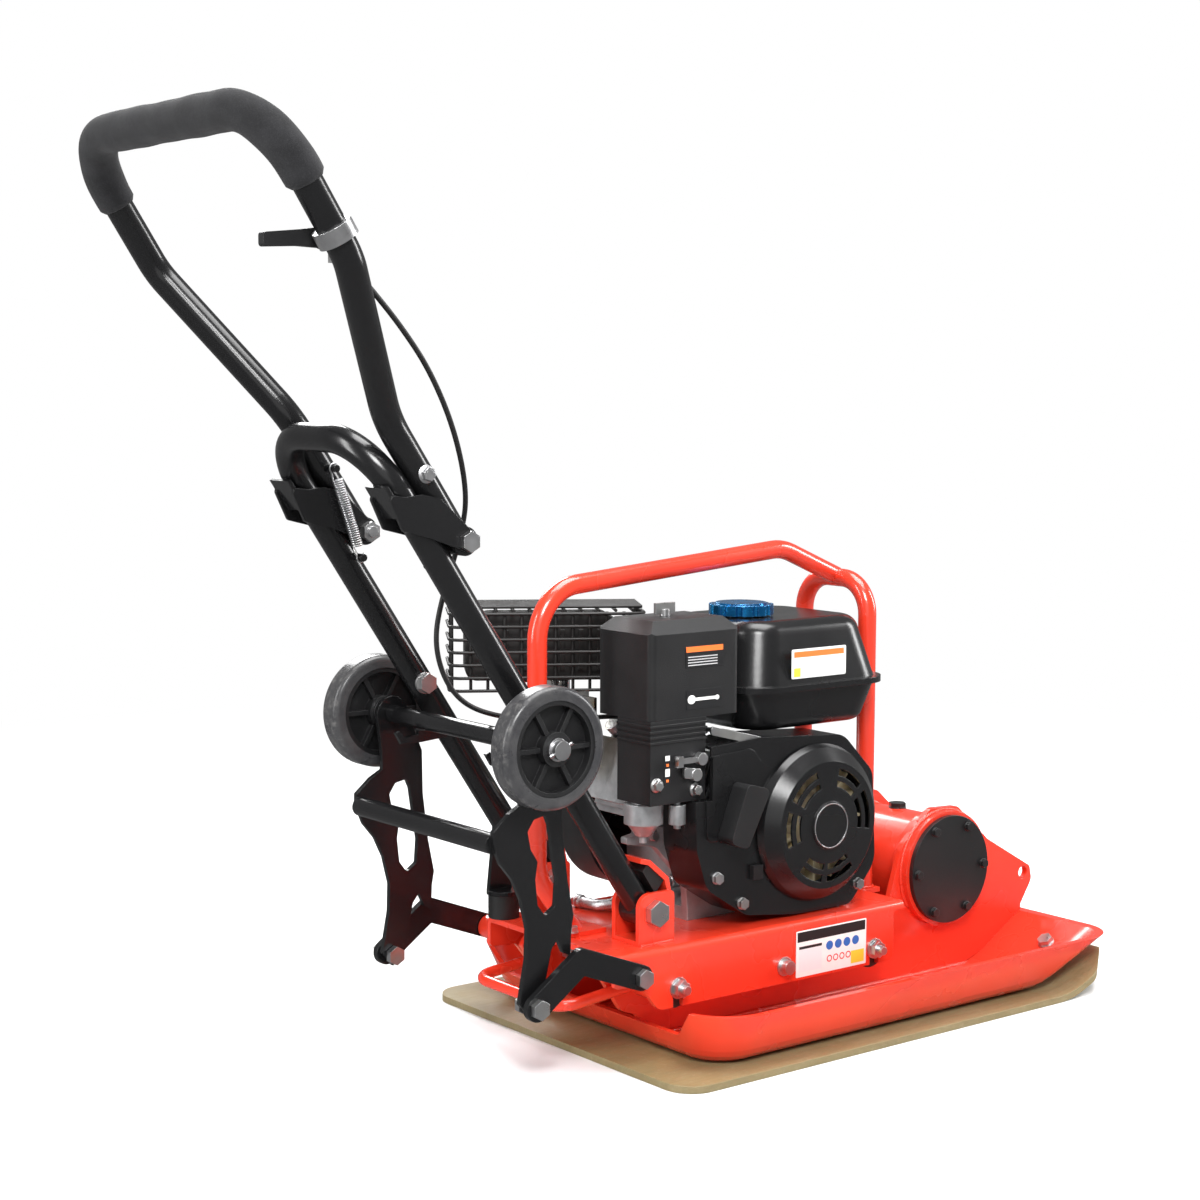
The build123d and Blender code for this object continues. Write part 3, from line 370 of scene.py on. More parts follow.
class Shader:
    """One node material. Numbers, colours and sockets are given as inputs by name or place."""

    def __init__(self, name):
        self.material = bpy.data.materials.new(name)
        self.material.use_nodes = True
        self.tree = self.material.node_tree
        self.tree.nodes.clear()
        self.surface = self.add("ShaderNodeBsdfPrincipled")
        output = self.add("ShaderNodeOutputMaterial")
        self.tree.links.new(self.surface.outputs[0], output.inputs[0])
        self.place = self.add("ShaderNodeTexCoord").outputs["Object"]

    def add(self, kind, inputs=(), **settings):
        made = self.tree.nodes.new(kind)
        for key, value in settings.items():
            setattr(made, key, value)
        for key, value in dict(inputs).items():
            if isinstance(value, bpy.types.NodeSocket):
                self.tree.links.new(value, made.inputs[key])
            else:
                made.inputs[key].default_value = value
        return made

    def noise(self, scale, detail=3, roughness=0.5, vector=None, distortion=0.0):
        inputs = {"Vector": vector or self.place, "Scale": scale, "Detail": detail,
                  "Roughness": roughness, "Distortion": distortion}
        return self.add("ShaderNodeTexNoise", inputs).outputs["Fac"]

    def cells(self, scale):
        inputs = {"Vector": self.place, "Scale": scale}
        return self.add("ShaderNodeTexVoronoi", inputs, feature="F1").outputs["Distance"]

    def span(self, value, low, high, to_low=0.0, to_high=1.0):
        inputs = {0: value, 1: low, 2: high, 3: to_low, 4: to_high}
        return self.add("ShaderNodeMapRange", inputs).outputs[0]

    def math(self, operation, a, b=0.0):
        return self.add("ShaderNodeMath", {0: a, 1: b}, operation=operation).outputs[0]

    def vector(self, operation, a, b=(0, 0, 0), out=0):
        return self.add("ShaderNodeVectorMath", {0: a, 1: b}, operation=operation).outputs[out]

    def mix(self, factor, a, b):
        made = self.add("ShaderNodeMix", {"Factor": factor}, data_type="RGBA")
        for key, value in ((6, a), (7, b)):
            if isinstance(value, bpy.types.NodeSocket):
                self.tree.links.new(value, made.inputs[key])
            else:
                made.inputs[key].default_value = (*value, 1)
        return made.outputs[2]

    def edges(self, radius):
        """A normal rounded only near sharp edges, and a mask that is 1 there and 0 elsewhere."""
        rounded = self.add("ShaderNodeBevel", {"Radius": radius}, samples=6).outputs[0]
        true = self.add("ShaderNodeNewGeometry").outputs["Normal"]
        dot = self.vector("DOT_PRODUCT", rounded, true, "Value")
        near_edge = self.span(dot, 0.985, 0.95)
        mixed = self.add("ShaderNodeMix", {"Factor": near_edge}, data_type="VECTOR")
        self.tree.links.new(true, mixed.inputs[4])
        self.tree.links.new(rounded, mixed.inputs[5])
        return mixed.outputs[1], self.span(dot, 0.98, 0.80)

    def bump(self, height, distance, strength=1.0, normal=None):
        inputs = {"Height": height, "Distance": distance, "Strength": strength}
        if normal is not None:
            inputs["Normal"] = normal
        return self.add("ShaderNodeBump", inputs).outputs[0]

    def set(self, **inputs):
        names = {"colour": "Base Color", "rough": "Roughness", "metal": "Metallic", "normal": "Normal",
                 "coat": "Coat Weight", "coat_rough": "Coat Roughness", "sheen": "Sheen Weight",
                 "specular": "Specular IOR Level", "sub": "Subsurface Weight"}
        for key, value in inputs.items():
            socket = self.surface.inputs[names[key]]
            if isinstance(value, bpy.types.NodeSocket):
                self.tree.links.new(value, socket)
            elif isinstance(value, tuple):
                socket.default_value = (*value, 1)
            else:
                socket.default_value = value
        return self.material


def enamel(name, colour, deep, pale, rough, coat, peel=0.00025, wear=0.25):
    """Sprayed enamel: slight drifts of tone, orange peel, thinner and paler on the edges."""
    s = Shader(name)
    rounded, edge = s.edges(0.0012)
    drift = s.span(s.noise(4, 2, 0.5), 0.3, 0.7)
    tone = s.mix(drift, colour, deep)
    worn = s.math("MULTIPLY", edge, s.span(s.noise(90, 4, 0.6), 0.45, 0.7, 0, wear))
    tone = s.mix(worn, tone, pale)
    dull = s.span(s.noise(9, 3, 0.5), 0.3, 0.7, rough * 0.85, rough * 1.2)
    ripple = s.noise(230, 2, 0.5)
    return s.set(colour=tone, rough=dull, coat=coat, coat_rough=0.08,
                 normal=s.bump(ripple, peel, 0.35, rounded))


def plated(name, colour, dark, rough, grain=500, dent=0.00002, tint=None):
    """Plated or ground steel with a fine tooth, stains and bright edges."""
    s = Shader(name)
    rounded, edge = s.edges(0.0006)
    stain = s.span(s.noise(35, 3, 0.5), 0.4, 0.75)
    tone = s.mix(stain, colour, dark)
    if tint:
        tone = s.mix(s.span(s.noise(22, 2), 0.45, 0.75, 0, 0.5), tone, tint)
    tone = s.mix(s.math("MULTIPLY", edge, 0.5), tone, tuple(min(1, c * 1.25) for c in colour))
    dull = s.span(s.noise(60, 3, 0.5), 0.3, 0.7, rough * 0.8, rough * 1.25)
    return s.set(colour=tone, rough=dull, metal=1.0,
                 normal=s.bump(s.noise(grain, 2), dent, 0.6, rounded))


def moulded(name, colour, pale, rough, grain, depth, bevel=0.0009):
    """Moulded plastic or rubber with a fine spark-eroded grain and paler rubbed edges."""
    s = Shader(name)
    rounded, edge = s.edges(bevel)
    tone = s.mix(s.span(s.noise(11, 4, 0.6), 0.35, 0.7, 0, 0.6), colour, tuple(c * 0.6 for c in colour))
    tone = s.mix(s.math("MULTIPLY", edge, s.span(s.noise(60, 3), 0.4, 0.7, 0.1, 0.5)), tone, pale)
    dull = s.span(s.noise(24, 4), 0.3, 0.7, rough * 0.85, rough * 1.2)
    pebble = s.math("ADD", s.cells(grain), s.noise(grain * 1.7, 2))
    return s.set(colour=tone, rough=dull, normal=s.bump(pebble, depth, 0.5, rounded))


def cast(name, colour, dark, rough, metal):
    """Sand or die castings: mottled, pitted, with rubbed bright edges."""
    s = Shader(name)
    rounded, edge = s.edges(0.0012)
    tone = s.mix(s.span(s.noise(38, 6, 0.65), 0.3, 0.7), colour, dark)
    tone = s.mix(s.math("MULTIPLY", edge, 0.55), tone, tuple(min(1, c * 1.2) for c in colour))
    pits = s.math("ADD", s.noise(520, 4, 0.7), s.span(s.cells(300), 0.0, 0.35, 0, 0.6))
    dull = s.span(s.noise(70, 4), 0.3, 0.7, rough * 0.8, rough * 1.25)
    return s.set(colour=tone, rough=dull, metal=metal,
                 normal=s.bump(pits, 0.0003, 0.45, rounded))


def round_axis(s, x, z):
    """How far a point is from the line along Y through (x, z)."""
    moved = s.vector("SUBTRACT", s.place, (x, 0, z))
    return s.vector("LENGTH", s.vector("MULTIPLY", moved, (1, 0, 1)), out="Value")


def tyre_material():
    """Dark polyurethane tyre: turned rings on its sides, dust and light scuffs."""
    s = Shader("wheel_tyre")
    away = round_axis(s, *AXLE)
    rings = s.math("SINE", s.math("MULTIPLY", away, 2600))
    tone = s.mix(s.span(s.noise(30, 5, 0.7), 0.35, 0.7), (0.030, 0.030, 0.033), (0.060, 0.059, 0.060))
    scuff = s.span(s.noise(150, 5, 0.75), 0.5, 0.75, 0, 0.6)
    tread = s.span(away, TREAD_FROM, 0.0625, 0.15, 1.0)
    tone = s.mix(s.math("MULTIPLY", scuff, tread), tone, (0.20, 0.195, 0.185))
    height = s.math("ADD", s.math("MULTIPLY", rings, 0.25), s.noise(600, 3))
    return s.set(colour=tone, rough=s.span(s.noise(40, 4), 0.3, 0.7, 0.22, 0.42),
                 normal=s.bump(height, 0.00012, 0.5))


def pulley_material():
    """Turned iron: fine tool rings and a little bloom of rust."""
    s = Shader("cast_iron")
    rounded = s.edges(0.0008)[0]
    grooves = s.math("SINE", s.math("MULTIPLY", round_axis(s, *EXCITER), 9000))
    rust = s.span(s.noise(45, 6, 0.7), 0.52, 0.75)
    tone = s.mix(rust, (0.32, 0.32, 0.33), (0.20, 0.11, 0.06))
    return s.set(colour=tone, metal=0.9, rough=s.span(rust, 0, 1, 0.32, 0.6),
                 normal=s.bump(s.math("ADD", grooves, s.noise(400, 3)), 0.00008, 0.5, rounded))


def axle_material():
    """Black enamel between the wheels and bright plate on the ends."""
    s = Shader("axle_finish")
    rounded = s.edges(0.0006)[0]
    across = s.add("ShaderNodeSeparateXYZ", {0: s.place}).outputs[1]
    bright = s.math("GREATER_THAN", s.math("ABSOLUTE", across), AXLE_ENAMEL_TO)
    dark = s.mix(s.span(s.noise(9, 3), 0.3, 0.7), (0.005, 0.005, 0.0055), (0.009, 0.009, 0.0095))
    zinc = s.mix(s.span(s.noise(35, 3), 0.4, 0.75), (0.66, 0.66, 0.67), (0.46, 0.46, 0.47))
    return s.set(colour=s.mix(bright, dark, zinc), metal=bright, rough=s.span(bright, 0, 1, 0.2, 0.28),
                 normal=s.bump(s.noise(400, 2), 0.00002, 0.5, rounded))


def foam_material():
    s = Shader("foam")
    fine = s.math("ADD", s.cells(900), s.noise(1500, 3, 0.7))
    coarse = s.noise(35, 4, 0.6)
    tone = s.mix(s.span(coarse, 0.35, 0.7), (0.010, 0.010, 0.011), (0.019, 0.019, 0.021))
    tone = s.mix(s.span(s.noise(700, 3, 0.8), 0.5, 0.75, 0, 0.5), tone, (0.040, 0.040, 0.042))
    height = s.math("ADD", s.math("MULTIPLY", fine, 0.35), coarse)
    return s.set(colour=tone, rough=s.span(fine, 0.2, 1.2, 0.78, 0.95), sheen=0.08, specular=0.25,
                 normal=s.bump(height, 0.0007, 0.6))


def pad_material():
    """Cast olive-brown urethane: cloudy, faintly streaked along the mould, dusty."""
    s = Shader("pad_urethane")
    rounded, edge = s.edges(0.0012)
    cloud = s.span(s.noise(5, 5, 0.6, distortion=0.6), 0.3, 0.7)
    tone = s.mix(cloud, (0.215, 0.165, 0.072), (0.285, 0.235, 0.125))
    along = s.vector("MULTIPLY", s.place, (6, 60, 40))
    tone = s.mix(s.span(s.noise(3, 4, 0.6, along), 0.45, 0.7, 0, 0.4), tone, (0.17, 0.125, 0.055))
    tone = s.mix(s.span(s.noise(170, 5, 0.7), 0.55, 0.8, 0, 0.5), tone, (0.36, 0.32, 0.22))
    tone = s.mix(s.math("MULTIPLY", edge, 0.6), tone, (0.37, 0.31, 0.17))
    return s.set(colour=tone, rough=s.span(s.noise(25, 4), 0.3, 0.7, 0.38, 0.62), sub=0.04,
                 normal=s.bump(s.noise(260, 4, 0.6), 0.0004, 0.4, rounded))


def chrome_material():
    """Polished pipe, straw and blue where the heat has run."""
    s = Shader("chrome_pipe")
    rounded = s.edges(0.0006)[0]
    heat = s.noise(14, 3, 0.6)
    tone = s.mix(s.span(heat, 0.42, 0.60), (0.80, 0.80, 0.81), (0.72, 0.60, 0.40))
    tone = s.mix(s.span(heat, 0.58, 0.70, 0, 0.6), tone, (0.36, 0.40, 0.58))
    return s.set(colour=tone, metal=1.0, rough=s.span(s.noise(90, 4), 0.3, 0.7, 0.10, 0.24),
                 normal=s.bump(s.noise(300, 2), 0.00005, 0.4, rounded))


def braid_material():
    """Steel for the braid: mottled tone and roughness with a fine bump."""
    s = Shader("braided_steel")
    tone = s.mix(s.span(s.noise(700, 3), 0.35, 0.7), (0.62, 0.62, 0.63), (0.30, 0.30, 0.31))
    return s.set(colour=tone, metal=1.0, rough=s.span(s.noise(300, 3), 0.3, 0.7, 0.25, 0.45),
                 normal=s.bump(s.noise(1400, 2), 0.00006, 0.6))


def anodised_material():
    s = Shader("blue_anodised")
    rounded, edge = s.edges(0.0008)
    tone = s.mix(s.span(s.noise(30, 3), 0.35, 0.7), (0.010, 0.155, 0.42), (0.020, 0.26, 0.58))
    tone = s.mix(s.math("MULTIPLY", edge, 0.6), tone, (0.22, 0.52, 0.80))
    return s.set(colour=tone, metal=0.9, rough=s.span(s.noise(120, 3), 0.3, 0.7, 0.18, 0.32),
                 normal=s.bump(s.noise(900, 2), 0.00005, 0.5, rounded))


def grey(value, blue=None):
    """A neutral colour, or one a little bluer."""
    return value, value, value if blue is None else blue


# One finish for each material slot of the record: colour, deeper or paler tone, roughness and so on.
MATERIALS = {
    "red_paint": enamel("red_paint", (0.80, 0.045, 0.018), (0.70, 0.034, 0.014),
                        (0.90, 0.16, 0.09), 0.26, 0.6),
    "black_paint": enamel("black_paint", grey(0.0050, 0.0055), grey(0.0085, 0.009), grey(0.06),
                          0.21, 0.0, 0.00005, 0.3),
    "black_gloss_paint": enamel("black_gloss_paint", grey(0.0055, 0.006), grey(0.009, 0.0095),
                                grey(0.05), 0.25, 0.0, 0.0001, 0.2),
    "black_heat_paint": enamel("black_heat_paint", grey(0.008), (0.014, 0.012, 0.011),
                               (0.07, 0.06, 0.05), 0.48, 0.0, 0.0003, 0.3),
    "black_oxide_steel": enamel("black_oxide_steel", grey(0.0075, 0.008), grey(0.012, 0.0125),
                                grey(0.06), 0.34, 0.1, 0.0002, 0.3),
    "zinc_steel": plated("zinc_steel", grey(0.66, 0.67), grey(0.50, 0.51), 0.33,
                         tint=(0.66, 0.65, 0.58)),
    "bearing_steel": plated("bearing_steel", grey(0.62, 0.64), grey(0.5, 0.52), 0.2),
    "braided_steel": braid_material(),
    "chrome_pipe": chrome_material(),
    "cast_iron": pulley_material(),
    "cast_aluminium": cast("cast_aluminium", (0.56, 0.57, 0.58), (0.40, 0.41, 0.42), 0.42, 0.85),
    "blue_anodised": anodised_material(),
    "black_plastic": moulded("black_plastic", grey(0.010, 0.0108), grey(0.035, 0.036),
                             0.46, 850, 0.0002),
    "cream_plastic": moulded("cream_plastic", (0.78, 0.66, 0.42), (0.88, 0.80, 0.60),
                             0.5, 700, 0.00015),
    "black_rubber": moulded("black_rubber", grey(0.012), grey(0.04), 0.52, 500, 0.00025),
    "foam": foam_material(),
    "wheel_tyre": tyre_material(),
    "pad_urethane": pad_material(),
}

# ---------------------------------------------------------------- soft and wound pieces

GRIP_SIDE = ((-0.722, 0.191, 0.9235), (-0.765, 0.191, 0.990))
GRIP_RADIUS = 0.020
GRIP_BORE = 0.0152
GRIP_BEND = 0.070


def make_foam_grip():
    """A pushed-on foam sleeve: pinched ends and a slight waviness along its length."""
    (x0, y0, z0), (x1, y1, z1) = GRIP_SIDE
    corners = ((x0, -y0, z0), (x1, -y1, z1), (x1, y1, z1), (x0, y0, z0))
    line = even(bent(corners, (GRIP_BEND, GRIP_BEND)), 0.005)
    total = length_of(line)
    radii, gone = [], 0.0
    for i, p in enumerate(line):
        if i:
            gone += (p - line[i - 1]).length
        end = min(gone, total - gone)
        rounding = 0.0035 * max(0.0, 1 - end / 0.006) ** 2
        slack = 0.00035 * math.sin(gone * 47) + 0.00025 * math.sin(gone * 113 + 1)
        radii.append(GRIP_RADIUS - rounding - 0.0003 + slack * min(1, end / 0.02))
    line = [line[0]] + line + [line[-1]]
    radii = [GRIP_BORE] + radii + [GRIP_BORE]
    verts, faces, uvs = tube_with_ends(line, radii, 40)
    grip = add_mesh("handle_foam_grip", verts, faces, "foam", "upper_handle", uvs, 50)
    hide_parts("foam_grip")


def tube_with_ends(line, radii, sides):
    """A tube whose first and last rings lie in the planes of their neighbours."""
    inner = [Vector(p) for p in line]
    inner[0] = inner[1] - (inner[2] - inner[1]).normalized() * 0.0001
    inner[-1] = inner[-2] + (inner[-2] - inner[-3]).normalized() * 0.0001
    return tube(inner, radii, sides)


LOWER_STUD = Vector((-0.508, 0, 0.556))
UPPER_STUD = Vector((-0.541, 0, 0.652))
SPRING_Y = 0.066
SPRING_WIRE = 0.00105


def spring_at(y):
    """A close-wound extension spring hooked over two studs."""
    along = (UPPER_STUD - LOWER_STUD).normalized()
    span = (UPPER_STUD - LOWER_STUD).length
    across = Vector((0, 1, 0)).cross(along)
    outward = Vector((0, 1, 0))
    start, end, radius, hook, turns = 0.0125, span - 0.0125, 0.0053, 0.0051, 30
    per_turn = 14

    def at(s, v, w):
        return LOWER_STUD + Vector((0, y, 0)) + along * s + across * v + outward * w

    line = []
    for k in range(15):
        a = math.radians(50 + 250 * k / 14)
        line.append(at(hook * math.cos(a), hook * math.sin(a), 0))
    steps = turns * per_turn
    for k in range(steps + 1):
        a = math.radians(-90) + 2 * math.pi * turns * k / steps
        line.append(at(start + (end - start) * k / steps, radius * math.sin(a), radius * math.cos(a)))
    for k in range(15):
        a = math.radians(-120 + 250 * k / 14)
        line.append(at(span + hook * math.cos(a), hook * math.sin(a), 0))
    return tube(line, SPRING_WIRE, 8)


def make_springs():
    for name, y in (("tension_spring_right", -SPRING_Y), ("tension_spring_left", SPRING_Y)):
        verts, faces, uvs = spring_at(y)
        spring = add_mesh(name, verts, faces, "zinc_steel", None, uvs, 0)
        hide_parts("tension_springs")
        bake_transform(spring)


# The drain hose's corners, from the crankcase to the far side of the deck.
HOSE = ((-0.1182, 0, 0.163), (-0.152, 0, 0.162), (-0.184, 0.006, 0.147), (-0.209, 0.030, 0.139),
        (-0.214, 0.072, 0.139))


def make_drain_hose():
    """A hose under woven steel braid, with a crimped collar at each end."""
    line = even(bent(HOSE, (0.040, 0.036, 0.036)), 0.0006)

    def weave(along, angle):
        left = abs(math.sin(8 * angle + 330 * along))
        right = abs(math.sin(8 * angle - 330 * along))
        return 0.925 + 0.06 * max(left, right) ** 0.7

    verts, faces, uvs = tube(line, 0.0065, 96, weave)
    hose = add_mesh("drain_hose_braid", verts, faces, "braided_steel", "base", uvs, 0)
    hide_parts("drain_hose")
    collars = []
    for here, inward in ((line[0], line[8]), (line[-1], line[-9])):
        axis = inward - here
        profile = [(0.0050, 0.0002), (0.0076, 0.0004), (0.0082, 0.0014), (0.0082, 0.0050),
                   (0.0074, 0.0056), (0.0074, 0.0068), (0.0082, 0.0074), (0.0082, 0.0110),
                   (0.0076, 0.0120), (0.0066, 0.0124)]
        collars.append(lathe(profile, here, axis, 32))
    verts, faces, uvs = spread(collars)
    add_mesh("drain_hose_collars", verts, faces, "zinc_steel", "base", uvs)


ROPE = (-0.134, -0.1186, 0.262)
ROPE_RADIUS = 0.0022
ROPE_REST = 0.0050
ROPE_RINGS = 80


def make_starter_rope():
    """The rope, a short straight piece that lies inside the grip at rest."""
    x, y, z = ROPE
    line = [Vector((x, y - ROPE_REST * k / ROPE_RINGS, z)) for k in range(ROPE_RINGS + 1)]
    verts, faces, uvs = tube(line, ROPE_RADIUS, 12)
    rope = add_mesh("starter_rope", verts, faces, "black_rubber", None, uvs, 0)
    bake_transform(rope)


make_foam_grip()
make_springs()
make_drain_hose()
make_starter_rope()

# ---------------------------------------------------------------- weld beads

WELD_RANDOM = random.Random(11)
RIB_FOOT = (-0.235, 0.330, 0.0156)
HOOP_FOOT = (0.133, 0.1315)
BRACKET_FOOT = (-0.270, -0.224, 0.1315)


def bead(line, radius):
    """A weld bead: overlapping ripples along a line, lumpy, half sunk in the joint."""
    points = even([Vector(p) for p in line], radius * 0.28)
    radii = []
    for k in range(len(points)):
        ripple = 0.82 + 0.18 * abs(math.sin(k * math.pi / 4))
        radii.append(radius * ripple * WELD_RANDOM.uniform(0.93, 1.05))
    radii[0] = radii[-1] = radius * 0.35
    return tube(points, radii, 10)


def arc_y(centre, radius, y, start, stop, count=40):
    x, z = centre
    out = []
    for k in range(count + 1):
        a = math.radians(start + (stop - start) * k / count)
        out.append(Vector((x + radius * math.cos(a), y, z + radius * math.sin(a))))
    return out


def ring_z(x, y, z, radius, count=28):
    turns = [2 * math.pi * k / count for k in range(count + 1)]
    return [Vector((x + radius * math.cos(a), y + radius * math.sin(a), z)) for a in turns]


def make_welds():
    """Round the exciter's tube, along the ribs, round the hoop's feet and along the brackets."""
    beads = []
    for y, out in ((-0.082, -1), (0.067, 1)):
        beads.append(bead(arc_y(EXCITER, 0.0726, y + out * 0.0006, -35, 215), 0.0026))
    for y in (-0.066, 0.059):
        beads.append(bead(arc_y(EXCITER, 0.0624, y, 10, 170), 0.0024))
    back, front, z = RIB_FOOT
    for y in (-0.0835, -0.0725, 0.0575, 0.0685):
        beads.append(bead(((back, y, z), (front, y, z)), 0.0028))
    for y in (-0.055, 0.055):
        beads.append(bead(ring_z(HOOP_FOOT[0], y, HOOP_FOOT[1], 0.0114), 0.0022))
    back, front, z = BRACKET_FOOT
    for sign in (-1, 1):
        for y in (0.1195, 0.0705):
            beads.append(bead(((back, sign * y, z), (front, sign * y, z)), 0.0018))
    verts, faces, uvs = spread(beads)
    add_mesh("weld_beads", verts, faces, "red_paint", "base", uvs, 0)


make_welds()

# ---------------------------------------------------------------- labels without lettering


def label_material(name, panels, ground):
    """A printed label, drawn from its panels over the ground colour.

    A panel is ("box", u0, v0, u1, v1, colour), or ("disc" or "ring", u, v, radius, squash, colour).
    """
    s = Shader(name)
    uv = s.add("ShaderNodeTexCoord").outputs["UV"]
    u, v = s.add("ShaderNodeSeparateXYZ", {0: uv}).outputs[:2]
    tone = s.mix(s.span(s.noise(90, 3), 0.3, 0.7, 0, 0.5), ground, tuple(c * 0.9 for c in ground))
    for kind, a, b, c, d, colour in panels:
        if kind == "box":
            inside = s.math("MULTIPLY", s.math("GREATER_THAN", u, a), s.math("LESS_THAN", u, c))
            rows = s.math("MULTIPLY", s.math("GREATER_THAN", v, b), s.math("LESS_THAN", v, d))
            mask = s.math("MULTIPLY", inside, rows)
        else:
            du, dv = s.math("SUBTRACT", u, a), s.math("MULTIPLY", s.math("SUBTRACT", v, b), d)
            squares = s.math("ADD", s.math("MULTIPLY", du, du), s.math("MULTIPLY", dv, dv))
            away = s.math("SQRT", squares)
            mask = s.math("LESS_THAN", away, c)
            if kind == "ring":
                mask = s.math("MULTIPLY", mask, s.math("GREATER_THAN", away, c * 0.66))
        tone = s.mix(mask, tone, colour)
    gloss = 0.35
    return s.set(colour=tone, rough=s.span(s.noise(200, 3), 0.3, 0.7, gloss * 0.8, gloss * 1.3),
                 normal=s.bump(s.noise(700, 2), 0.00005, 0.4))


WHITE, BLACK, ORANGE = (0.82, 0.82, 0.80), (0.012, 0.012, 0.013), (0.86, 0.18, 0.03)
YELLOW, BLUE, RED = (0.85, 0.62, 0.05), (0.02, 0.13, 0.45), (0.65, 0.02, 0.02)
GREY, SILVER = (0.55, 0.55, 0.56), (0.74, 0.75, 0.76)


def add_label(name, centre, width, height, panels, ground, radius=0.002):
    """A label on the recoil starter's side, where +X is to its right and +Z is up."""
    verts, faces, uvs = plate(centre, (1, 0, 0), (0, 0, 1), width, height, radius, 0.0004)
    piece = add_mesh(name, verts, faces, "black_plastic", "base", uvs)
    piece.data.materials.append(label_material(name, panels, ground))


def rules(u0, u1, v0, v1, count, colour):
    """Thin plain rules, evenly spaced."""
    step = (v1 - v0) / count
    return [("box", u0, v0 + step * k, u1, v0 + step * (k + 0.35), colour) for k in range(count)]


def make_labels():
    tank = [("box", 0.04, 0.72, 0.96, 0.92, ORANGE), ("box", 0.04, 0.40, 0.96, 0.42, GREY),
            ("box", 0.04, 0.06, 0.16, 0.36, YELLOW)] + rules(0.22, 0.92, 0.10, 0.34, 3, GREY)
    add_label("tank_label", (-0.002, TANK_FACE, 0.4235), 0.086, 0.034, tank, WHITE)
    cover = [("box", 0.0, 0.74, 1.0, 1.0, ORANGE)] + rules(0.05, 0.85, 0.10, 0.62, 4, GREY)
    add_label("filter_label", (-0.1735, FILTER_FACE, 0.4425), 0.054, 0.024, cover, BLACK, 0.001)
    strip = [("box", 0.12, 0.42, 0.88, 0.58, WHITE), ("disc", 0.14, 0.50, 0.11, 0.48, WHITE),
             ("disc", 0.86, 0.50, 0.06, 0.48, WHITE)]
    add_label("choke_mark", (-0.1735, FILTER_FACE, 0.3955), 0.052, 0.022, strip, BLACK, 0.001)
    icons = [("box", 0.15, 0.80, 0.85, 0.98, WHITE), ("box", 0.3, 0.60, 0.7, 0.70, ORANGE),
             ("box", 0.15, 0.25, 0.85, 0.52, WHITE), ("box", 0.3, 0.05, 0.7, 0.15, ORANGE)]
    add_label("fuel_mark", (-0.226, FILTER_FACE, 0.321), 0.0095, 0.032, icons, BLACK, 0.0008)
    deck = [("box", 0.015, 0.76, 0.985, 0.975, BLACK), ("box", 0.04, 0.10, 0.36, 0.66, SILVER),
            ("box", 0.04, 0.60, 0.36, 0.66, BLACK), ("box", 0.78, 0.06, 0.97, 0.34, YELLOW)]
    deck += [("disc", 0.47 + 0.125 * k, 0.57, 0.05, 0.5, BLUE) for k in range(4)]
    deck += [("ring", 0.47 + 0.09 * k, 0.28, 0.038, 0.5, RED) for k in range(4)]
    add_label("deck_label", (-0.002, DECK_FACE, 0.0925), 0.112, 0.054, deck, WHITE, 0.0015)


make_labels()

# ---------------------------------------------------------------- small fittings


def hexagon_head(at, out, across, height):
    """A flange bolt head: washer face, six flats with a turned chamfer, a shallow dish."""
    at, out = Vector(at), Vector(out).normalized()
    washer = lathe([(across * 0.72, 0), (across * 0.72, height * 0.16),
                    (across * 0.55, height * 0.34)], at, out, 36)
    corner = across / 2 / math.cos(math.pi / 6)
    head = lathe([(corner, height * 0.2), (corner, height * 0.86), (corner * 0.9, height)],
                 at, out, 6)
    dish = lathe([(across * 0.36, height * 1.0), (across * 0.34, height * 1.02),
                  (across * 0.2, height * 1.02)], at, out, 24)
    return spread([washer, head, dish])


def make_fittings():
    """The filter base's two bolts, the nuts outside the spring studs and the badge's ring."""
    filter_bolts = [hexagon_head((x, -0.1100, z), (0, -1, 0), 0.011, 0.007)
                    for x, z in ((-0.2420, 0.3050), (-0.1860, 0.2945))]
    verts, faces, uvs = spread(filter_bolts)
    add_mesh("filter_base_bolts", verts, faces, "zinc_steel", "base", uvs, 30)
    nuts = [hexagon_head((UPPER_STUD.x, side * 0.1098, UPPER_STUD.z), (0, side, 0), 0.013, 0.008)
            for side in (-1, 1)]
    verts, faces, uvs = spread(nuts)
    add_mesh("spring_stud_nuts", verts, faces, "zinc_steel", "upper_handle", uvs, 30)
    ring = [(0.0262, 0), (0.0262, 0.0006), (0.0250, 0.0006), (0.0250, 0)]
    verts, faces, uvs = lathe(ring, (CRANK[0], BADGE_FACE, CRANK[1]), (0, -1, 0), 64, True)
    trim = add_mesh("badge_trim", verts, faces, "black_plastic", "base", uvs, 30)
    trim.data.materials.append(plated("badge_silver", (0.75, 0.75, 0.76), (0.6, 0.6, 0.61), 0.3))


make_fittings()

# ---------------------------------------------------------------- finishes on every piece

axle_finish = axle_material()
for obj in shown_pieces():
    if len(obj.data.materials) and "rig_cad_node" not in obj and obj.data.materials[0]:
        continue
    slot = obj.get("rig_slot")
    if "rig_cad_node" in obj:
        slot = next(p["material_slot"] for p in frame["record"]["subparts"] if p["node"] == obj.name)
        for place in obj.material_slots:
            place.material = axle_finish if obj.name == "axle" else MATERIALS[slot]
    if not obj.material_slots:
        obj.data.materials.append(MATERIALS[slot])

# ---------------------------------------------------------------- floor and light


FADE = (0.9, 2.6)
FLOOR_RADIUS = 40


